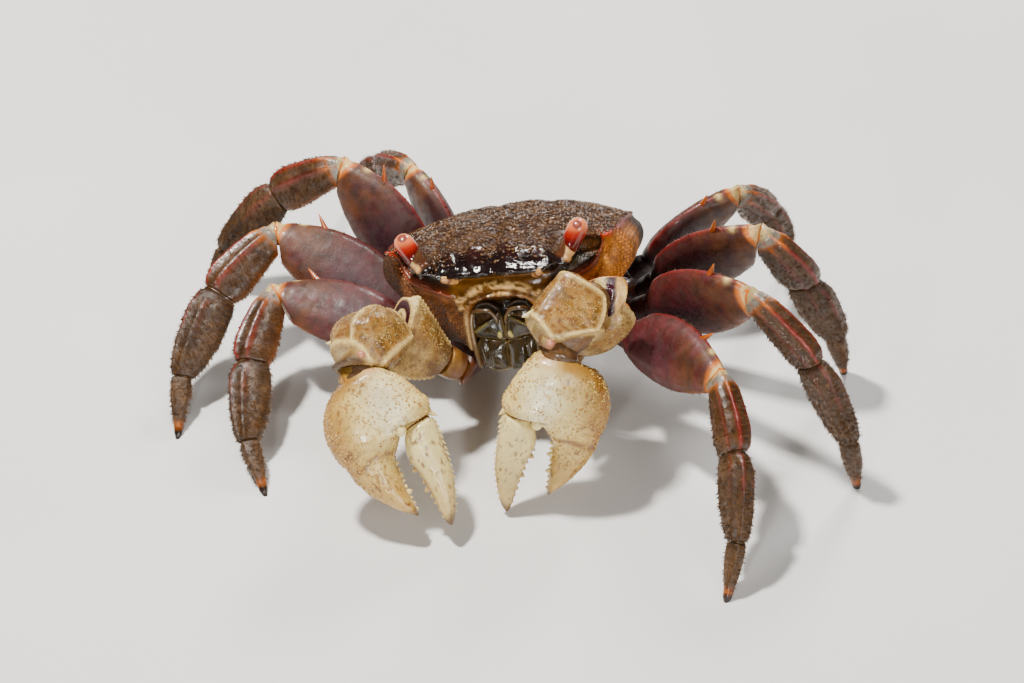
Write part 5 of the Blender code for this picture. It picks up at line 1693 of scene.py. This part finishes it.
def tuft_source(name, hairs, width, spread, seed, material):
    """Make one tuft: a row of bent three-sided hairs, one unit long, each on its own patch."""
    dice = np.random.default_rng(seed)
    points = []
    faces = []
    along = []
    patch = []
    for k in range(hairs):
        root = np.array([(k / (hairs - 1) - 0.5) * width, dice.uniform(-0.06, 0.06), -0.12])
        lean = np.array([dice.uniform(-spread, spread), dice.uniform(-0.5, 0.5) * spread])
        tall = dice.uniform(0.7, 1.05)
        first = len(points)
        for level, radius in ((0.0, 0.055), (0.55, 0.042)):
            centre = root + (lean[0] * level, lean[1] * level, tall * level)
            for i in range(3):
                a = 2 * math.pi * i / 3
                points.append(centre + radius * np.array([math.cos(a), math.sin(a), 0.0]))
                along.append(level)
                patch.append((k / hairs - 0.5 + 0.1 * i / hairs, level - 0.5, 0.0))
        points.append(root + (lean[0] * 1.2, lean[1] * 1.2 + 0.12, tall))
        along.append(1.0)
        patch.append((k / hairs - 0.45, 0.5, 0.0))
        for i in range(3):
            j = (i + 1) % 3
            faces.append((first + i, first + j, first + 3 + j, first + 3 + i))
            faces.append((first + 3 + i, first + 3 + j, first + 6))
        faces.append((first + 2, first + 1, first))
    mesh = plain_mesh(name, points, faces, material)
    store(mesh, "along", "FLOAT", along)
    store(mesh, "patch", "FLOAT_VECTOR", patch)
    return bpy.data.objects.new(name, mesh)


def scatter_tree():
    """Build the tree that scatters a small piece over a skin, leaning along the skin's comb."""
    tree = bpy.data.node_groups.get("scatter on skin")
    if tree:
        return tree
    tree = bpy.data.node_groups.new("scatter on skin", "GeometryNodeTree")
    for name, kind, value in SCATTER_INPUTS:
        socket = tree.interface.new_socket(name, in_out="INPUT", socket_type="NodeSocket" + kind)
        if value is not None:
            socket.default_value = value
        if kind == "Float":
            socket.min_value = 0.0
    tree.interface.new_socket("Pieces", in_out="OUTPUT", socket_type="NodeSocketGeometry")

    def add(kind, inputs, **settings):
        return add_node(tree, kind, inputs, **settings)

    def maths(kind, operation, first, second):
        return add("ShaderNode" + kind, {0: first, 1: second}, operation=operation)[0]

    def scaled(vector, factor):
        return add("ShaderNodeVectorMath", {0: vector, "Scale": factor}, operation="SCALE")[0]

    def named(name, kind="FLOAT_VECTOR"):
        return add("GeometryNodeInputNamedAttribute", {"Name": name}, data_type=kind)["Attribute"]

    given = add("NodeGroupInput", {})
    seed, lean, variation = given["Seed"], given["Lean"], given["Variation"]
    density = maths("Math", "MULTIPLY", given["Density"], named(given["Mask"], "FLOAT"))
    spread = add("GeometryNodeDistributePointsOnFaces",
                 {"Mesh": given["Skin"], "Density": density, "Seed": seed}, distribute_method="RANDOM")
    comb = named("comb")
    jitter = add("FunctionNodeRandomValue", {0: (-JITTER,) * 3, 1: (JITTER,) * 3, "Seed": seed},
                 data_type="FLOAT_VECTOR")
    aim = maths("VectorMath", "ADD", spread["Normal"], scaled(comb, lean))
    aim = maths("VectorMath", "ADD", aim, scaled(jitter[0], lean))
    rise = add("FunctionNodeAlignRotationToVector", {"Vector": aim}, axis="Z")
    across = maths("VectorMath", "CROSS_PRODUCT", spread["Normal"], comb)
    turn = add("FunctionNodeAlignRotationToVector", {"Rotation": rise["Rotation"], "Vector": across},
               axis="X", pivot_axis="Z")
    least = maths("Math", "SUBTRACT", 1.0, variation)
    most = maths("Math", "ADD", 1.0, variation)
    size = add("FunctionNodeRandomValue", {2: least, 3: most, "Seed": seed}, data_type="FLOAT")
    piece = add("GeometryNodeObjectInfo", {"Object": given["Piece"]})
    place = add("GeometryNodeInstanceOnPoints", {
        "Points": spread["Points"], "Instance": piece["Geometry"], "Rotation": turn["Rotation"],
        "Scale": maths("Math", "MULTIPLY", size[1], given["Length"])})
    real = add("GeometryNodeRealizeInstances", {"Geometry": place["Instances"]})
    root = maths("VectorMath", "ADD", named("Skin"), scaled(named("patch"), given["Patch"]))
    unwrap = add("GeometryNodeStoreNamedAttribute",
                 {"Name": "OFBake", "Geometry": real["Geometry"], "Value": root},
                 data_type="FLOAT2", domain="CORNER")
    finish = add("GeometryNodeSetMaterial", {"Geometry": unwrap["Geometry"], "Material": given["Finish"]})
    add("NodeGroupOutput", {"Pieces": finish["Geometry"]})
    return tree


def scatter(name, skin_name, piece, material, **values):
    """Scatter a small piece over a skin and keep the result as a plain mesh."""
    tree = scatter_tree()
    carrier = add_object(name + "_carrier", bpy.data.objects[skin_name].data)
    modifier = carrier.modifiers.new("scatter", "NODES")
    modifier.node_group = tree
    inputs = {item.name: item.identifier for item in tree.interface.items_tree if item.in_out == "INPUT"}
    modifier[inputs["Piece"]] = piece
    modifier[inputs["Finish"]] = material
    for key, value in values.items():
        modifier[inputs[key.capitalize()]] = value
    graph = bpy.context.evaluated_depsgraph_get()
    mesh = bpy.data.meshes.new_from_object(carrier.evaluated_get(graph))
    bpy.data.objects.remove(carrier, do_unlink=True)
    if not len(mesh.polygons):
        raise RuntimeError(name + " came out empty")
    for layer in [a.name for a in mesh.attributes if a.name in SOURCE_LAYERS]:
        mesh.attributes.remove(mesh.attributes[layer])
    mesh.name = name
    return add_object(name, mesh)


def bead_source(name, deep, tall, material):
    """Make a low dome that many beads repeat, one unit wide."""
    bead = source_mesh(name, 2, 7, lambda t: (0.5 * math.cos(t * 1.3), 0.0), material)
    bead.data.transform(Matrix.Diagonal((1.0, deep, tall, 1.0)))
    bead.data.shade_smooth()
    return bead


def build_granules():
    """Scatter granules over the palms, wrists and arms, and wet beads over the back."""
    c = colours()
    sizes = bpy.context.scene.crab_sizes
    ivory = bead_material("palm granule", c.ivory * (0.85, 0.7, 0.42), c.ochre * 1.1, 0.3)
    tan = bead_material("arm granule", c.gold * 0.8, c.cream * 0.8, 0.35)
    piece = bead_source("palm granule", 1.0, 0.5, ivory)
    for k, side in enumerate(SIGNS):
        for part, finish, slot, fine in (("palm", ivory, "claw", 1.0), ("wrist", tan, "claw_arm", ARM_GRAIN),
                                         ("merus", tan, "claw_arm", ARM_GRAIN)):
            grains = scatter("grain_" + part + "_" + side, "claw_" + part + "_skin_" + side, piece, finish,
                             density=sizes.granules / fine, length=sizes.granule * fine, variation=0.5,
                             lean=0.1, seed=sizes.seed + k)
            dress(grains, slot)
    bpy.data.objects.remove(piece)
    wet = bead_material("back bead", c.back * 0.7, c.straw * 0.8, 0.05)
    piece = bead_source("back bead", 0.55, 0.42, wet)
    beads = scatter("back_grain", "shell_carapace", piece, wet, density=sizes.beads, length=sizes.bead,
                    variation=0.45, lean=0.12, seed=sizes.seed + 5)
    dress(beads, "shell")
    bpy.data.objects.remove(piece)


def row_mesh(name, rows, piece, place, dice, material, low, high):
    """Make a row of teeth or beads: each has a place, an aim, a length and a width."""
    points = []
    faces = []
    tones = []
    source = np.array([v.co for v in piece.data.vertices])
    polygons = [tuple(p.vertices) for p in piece.data.polygons]
    for spot, aim, length, width in rows:
        aim = unit(np.array(aim))
        side = unit(np.cross(aim, (0.0, 0.0, 1.0)))
        other = np.cross(aim, side)
        length = length * dice.uniform(0.85, 1.15)
        faces += [tuple(len(points) + k for k in face) for face in polygons]
        for p in source:
            points.append(np.array(spot) + (side * p[0] + other * p[1]) * width + aim * p[2] * length)
            tones.append(p[2])
    tones = np.array(tones)
    mesh = outward_mesh(name, points, faces)
    paint_points(mesh, layers(tones.shape, low, (high, tones)), 0.3)
    return settle(name, mesh, material, place)


def evenly(count, start, reach):
    """Number some places that lie evenly along a reach."""
    return [(k, start + reach * k / (count - 1)) for k in range(count)]


def edge_at(rows, x, column):
    """Read the lower or upper edge of a limb from its rows."""
    return float(np.interp(x, rows[:, 0], rows[:, column]))


def build_teeth():
    """Make the teeth of both fingers, the crest of the palms and the beaded ridges of the face."""
    c = colours()
    materials = shell_materials()
    dice = np.random.default_rng(bpy.context.scene.crab_sizes.seed)
    sharp = source_mesh("sharp tooth", 3, 7, lambda t: (0.5 * (1.0 - t) ** 0.8, 0.3 * t * t))
    blunt = source_mesh("blunt tooth", 3, 8, lambda t: (0.5 * math.cos(t * 1.4), 0.0))
    body = np.array(PALM_ROWS)
    for side in SIGNS:
        size = PALM_SCALE[side]
        palm = claw_segments(side)[3]
        place = finger_segment(side, palm)[0].matrix
        rows = np.array(FINGER_ROWS) * size
        saw = []
        for k, x in evenly(*SAW_TEETH):
            high = edge_at(rows, size * x, 2)
            saw.append(((size * x, high - 0.3, 0.0), (0.95, 1.0, 0.0), 0.95 - 0.02 * k, 1.05 - 0.03 * k))
        grip = []
        for k, x in evenly(*GRIP_TEETH):
            tall, wide = (1.15, 1.2) if k in (1, 4) else (0.75, 0.9)
            grip.append(((size * x, edge_at(rows, size * x, 1) + 0.4, 0.0), (0.1, -1.0, 0.0), tall, wide))
        inner = []
        for k, x in evenly(*PALM_TEETH):
            tall, wide = (1.1, 1.2) if k in (2, 5) else (0.75, 0.9)
            edge = fixed_finger_edges(x)[1] - 0.35
            inner.append(((x * size, edge * size, 0.0), (0.1, 1.0, 0.0), tall, wide))
        for k, x in evenly(*PALM_CREST):
            inner.append(((x * size, (edge_at(body, x, 2) - 0.3) * size, 0.0), (0.8, 1.0, 0.0), 0.55, 0.7))
        saw = row_mesh("finger_saw", saw, sharp, place, dice, materials.ivory, c.ivory, c.cream)
        grip = row_mesh("finger_grip", grip, blunt, place, dice, materials.ivory, c.rust, c.cream)
        dress(join("finger_teeth_" + side, [saw, grip]), "claw")
        dress(row_mesh("palm_teeth_" + side, inner, blunt, palm.matrix, dice, materials.ivory, c.ivory,
                       c.cream), "claw")
    beads = []
    for sign in SIGNS.values():
        for k, across in evenly(*FACE_BEADS):
            place = (sign * across, face_depth(across) - 1.15, float(ridge_height(across)))
            beads.append((place, (0.0, -1.0, 0.25), 0.36, 0.4))
    dress(row_mesh("face_beads", beads, blunt, BODY, dice, materials.face, c.rim * 0.8, c.rim * 1.5), "shell")
    bpy.data.objects.remove(sharp)
    bpy.data.objects.remove(blunt)


def build_back_hair():
    """Scatter the short stiff tufts of the back, which lie forward in rows across it."""
    c = colours()
    sizes = bpy.context.scene.crab_sizes
    material = hair_material("short pale hair", c.straw, c.straw * 1.25)
    piece = tuft_source("back tuft", 6, 1.3, 0.25, 3, material)
    hair = scatter("back_hair", "shell_carapace", piece, material, density=sizes.tufts, length=sizes.tuft,
                   variation=0.35, lean=1.5, seed=sizes.seed)
    dress(hair, "shell")
    bpy.data.objects.remove(piece)


def build_leg_fur():
    """Scatter the short fur of the shins and feet and the bristles of the thighs."""
    c = colours()
    sizes = bpy.context.scene.crab_sizes
    material = hair_material("leg fur", c.fur, c.fur * 1.5)
    piece = tuft_source("fur tuft", 4, 0.45, 0.4, 5, material)
    for side in SIGNS:
        for pair in PAIRS:
            tag = leg_tag(side, pair)
            coats = []
            for k, (part, share) in enumerate(FUR_LENGTHS.items()):
                seed = sizes.seed + k + pair * 10 + (100 if side == "left" else 0)
                coats.append(scatter("fur_" + part + tag, part + "_skin" + tag, piece, material,
                                     density=sizes.furs, length=sizes.fur * share, variation=0.4, lean=1.1,
                                     seed=seed))
            dress(join("leg_fur" + tag, coats), "foot")
    bpy.data.objects.remove(piece)


# Stage

def build_stage():
    """Make the pale floor, soft lights and camera."""
    corners = [(x * FLOOR_REACH, y * FLOOR_REACH, 0.0) for x, y in ((-1, -1), (1, -1), (1, 1), (-1, 1))]
    recipe = Recipe("pale floor")
    tone = recipe.mix(recipe.span(recipe.noise(60.0, 2.0), 0.3, 0.7), FLOOR_DARK, FLOOR_LIGHT)
    add_object("floor", plain_mesh("floor", corners, [(0, 1, 2, 3)], recipe.finish(tone, 0.7)))
    world = bpy.data.worlds.new("studio")
    world.use_nodes = True
    background = world.node_tree.nodes["Background"].inputs
    background["Color"].default_value = WORLD_COLOUR
    background["Strength"].default_value = WORLD_STRENGTH
    bpy.context.scene.world = world
    for name, (place, size, power, colour) in LIGHTS.items():
        light = bpy.data.lights.new(name, "AREA")
        light.size = size
        light.energy = power
        light.color = colour
        lamp = add_object(name, light)
        lamp.location = place
        lamp.rotation_euler = (Vector(place) - Vector(LIGHT_TARGET)).to_track_quat("Z", "Y").to_euler()
    place_camera()


def place_camera():
    """Place the camera at the photograph's angle."""
    azimuth, elevation, roll = [math.radians(v) for v in CAMERA_ANGLES]
    right = Vector((math.cos(azimuth), math.sin(azimuth), 0.0))
    view = Vector((-math.sin(azimuth) * math.cos(elevation), math.cos(azimuth) * math.cos(elevation),
                   -math.sin(elevation)))
    up = right.cross(view)
    across = right * math.cos(roll) - up * math.sin(roll)
    above = right * math.sin(roll) + up * math.cos(roll)
    target = (Vector(MODEL_SHIFT) + Vector((0.0, 0.0, BODY_HEIGHT))) * MM
    target = target + across * CAMERA_OFFSET[0] + above * CAMERA_OFFSET[1]
    camera = bpy.data.cameras.new("camera")
    camera.lens = CAMERA_LENS
    camera.sensor_width = CAMERA_SENSOR
    camera.clip_start = CAMERA_NEAR
    place = Matrix((across, above, -view)).transposed().to_4x4()
    place.translation = target - view * CAMERA_DISTANCE
    viewer = add_object("camera", camera)
    viewer.matrix_world = place
    bpy.context.scene.camera = viewer


# Operators and panel

class CRAB_OT_carapace(bpy.types.Operator):
    """Make the carapace with its front, orbits and cheeks"""
    bl_idname = "crab.carapace"
    bl_label = "Carapace"

    def execute(self, context):
        build_carapace()
        return {"FINISHED"}


class CRAB_OT_underside(bpy.types.Operator):
    """Make the breastplate and the folded abdomen"""
    bl_idname = "crab.underside"
    bl_label = "Underside"

    def execute(self, context):
        build_underside()
        return {"FINISHED"}


class CRAB_OT_eyes(bpy.types.Operator):
    """Make the eyestalks and corneas"""
    bl_idname = "crab.eyes"
    bl_label = "Eyes"

    def execute(self, context):
        build_eyes()
        return {"FINISHED"}


class CRAB_OT_mouth(bpy.types.Operator):
    """Make the mouthparts and antennae"""
    bl_idname = "crab.mouth"
    bl_label = "Mouth and antennae"

    def execute(self, context):
        build_mouth()
        build_antennae()
        return {"FINISHED"}


class CRAB_OT_claws(bpy.types.Operator):
    """Make both claw legs"""
    bl_idname = "crab.claws"
    bl_label = "Claws"

    def execute(self, context):
        build_claws()
        return {"FINISHED"}


class CRAB_OT_legs(bpy.types.Operator):
    """Make the eight walking legs"""
    bl_idname = "crab.legs"
    bl_label = "Walking legs"

    def execute(self, context):
        build_legs()
        return {"FINISHED"}


class CRAB_OT_joints(bpy.types.Operator):
    """Make the soft skin of the joints"""
    bl_idname = "crab.joints"
    bl_label = "Joint skin"

    def execute(self, context):
        build_joints()
        return {"FINISHED"}


class CRAB_OT_grain(bpy.types.Operator):
    """Make the teeth, beads and granules"""
    bl_idname = "crab.grain"
    bl_label = "Teeth and granules"

    def execute(self, context):
        build_teeth()
        build_granules()
        return {"FINISHED"}


class CRAB_OT_hair(bpy.types.Operator):
    """Make the short hair of the back and the fur of the legs"""
    bl_idname = "crab.hair"
    bl_label = "Hair"

    def execute(self, context):
        build_back_hair()
        build_leg_fur()
        return {"FINISHED"}


class CRAB_OT_stage(bpy.types.Operator):
    """Make the floor, lights and camera"""
    bl_idname = "crab.stage"
    bl_label = "Stage"

    def execute(self, context):
        build_stage()
        return {"FINISHED"}


OPERATORS = (CRAB_OT_carapace, CRAB_OT_underside, CRAB_OT_eyes, CRAB_OT_mouth, CRAB_OT_claws, CRAB_OT_legs,
             CRAB_OT_joints, CRAB_OT_grain, CRAB_OT_hair, CRAB_OT_stage)


class CRAB_PT_panel(bpy.types.Panel):
    """Lists the crab's pieces, sizes and colours"""
    bl_idname = "CRAB_PT_panel"
    bl_label = "Land crab"
    bl_space_type = "VIEW_3D"
    bl_region_type = "UI"
    bl_category = "Land crab"

    def draw(self, context):
        column = self.layout.column()
        for operator in OPERATORS:
            column.operator(operator.bl_idname)
        for name in CrabSizes.__annotations__:
            column.prop(context.scene.crab_sizes, name)
        for name in PALETTE:
            column.prop(context.scene.crab_colours, name)


CLASSES = (CrabColours, CrabSizes) + OPERATORS + (CRAB_PT_panel,)


def register():
    """Register the classes and the scene's properties."""
    for cls in CLASSES:
        bpy.utils.register_class(cls)
    bpy.types.Scene.crab_colours = PointerProperty(type=CrabColours)
    bpy.types.Scene.crab_sizes = PointerProperty(type=CrabSizes)


def unregister():
    """Take the classes and properties out again."""
    del bpy.types.Scene.crab_sizes
    del bpy.types.Scene.crab_colours
    for cls in reversed(CLASSES):
        bpy.utils.unregister_class(cls)


def main():
    """Register the add-on and build the crab piece by piece."""
    register()
    for operator in OPERATORS:
        group, name = operator.bl_idname.split(".")
        getattr(getattr(bpy.ops, group), name)()


if __name__ == "__main__":
    main()
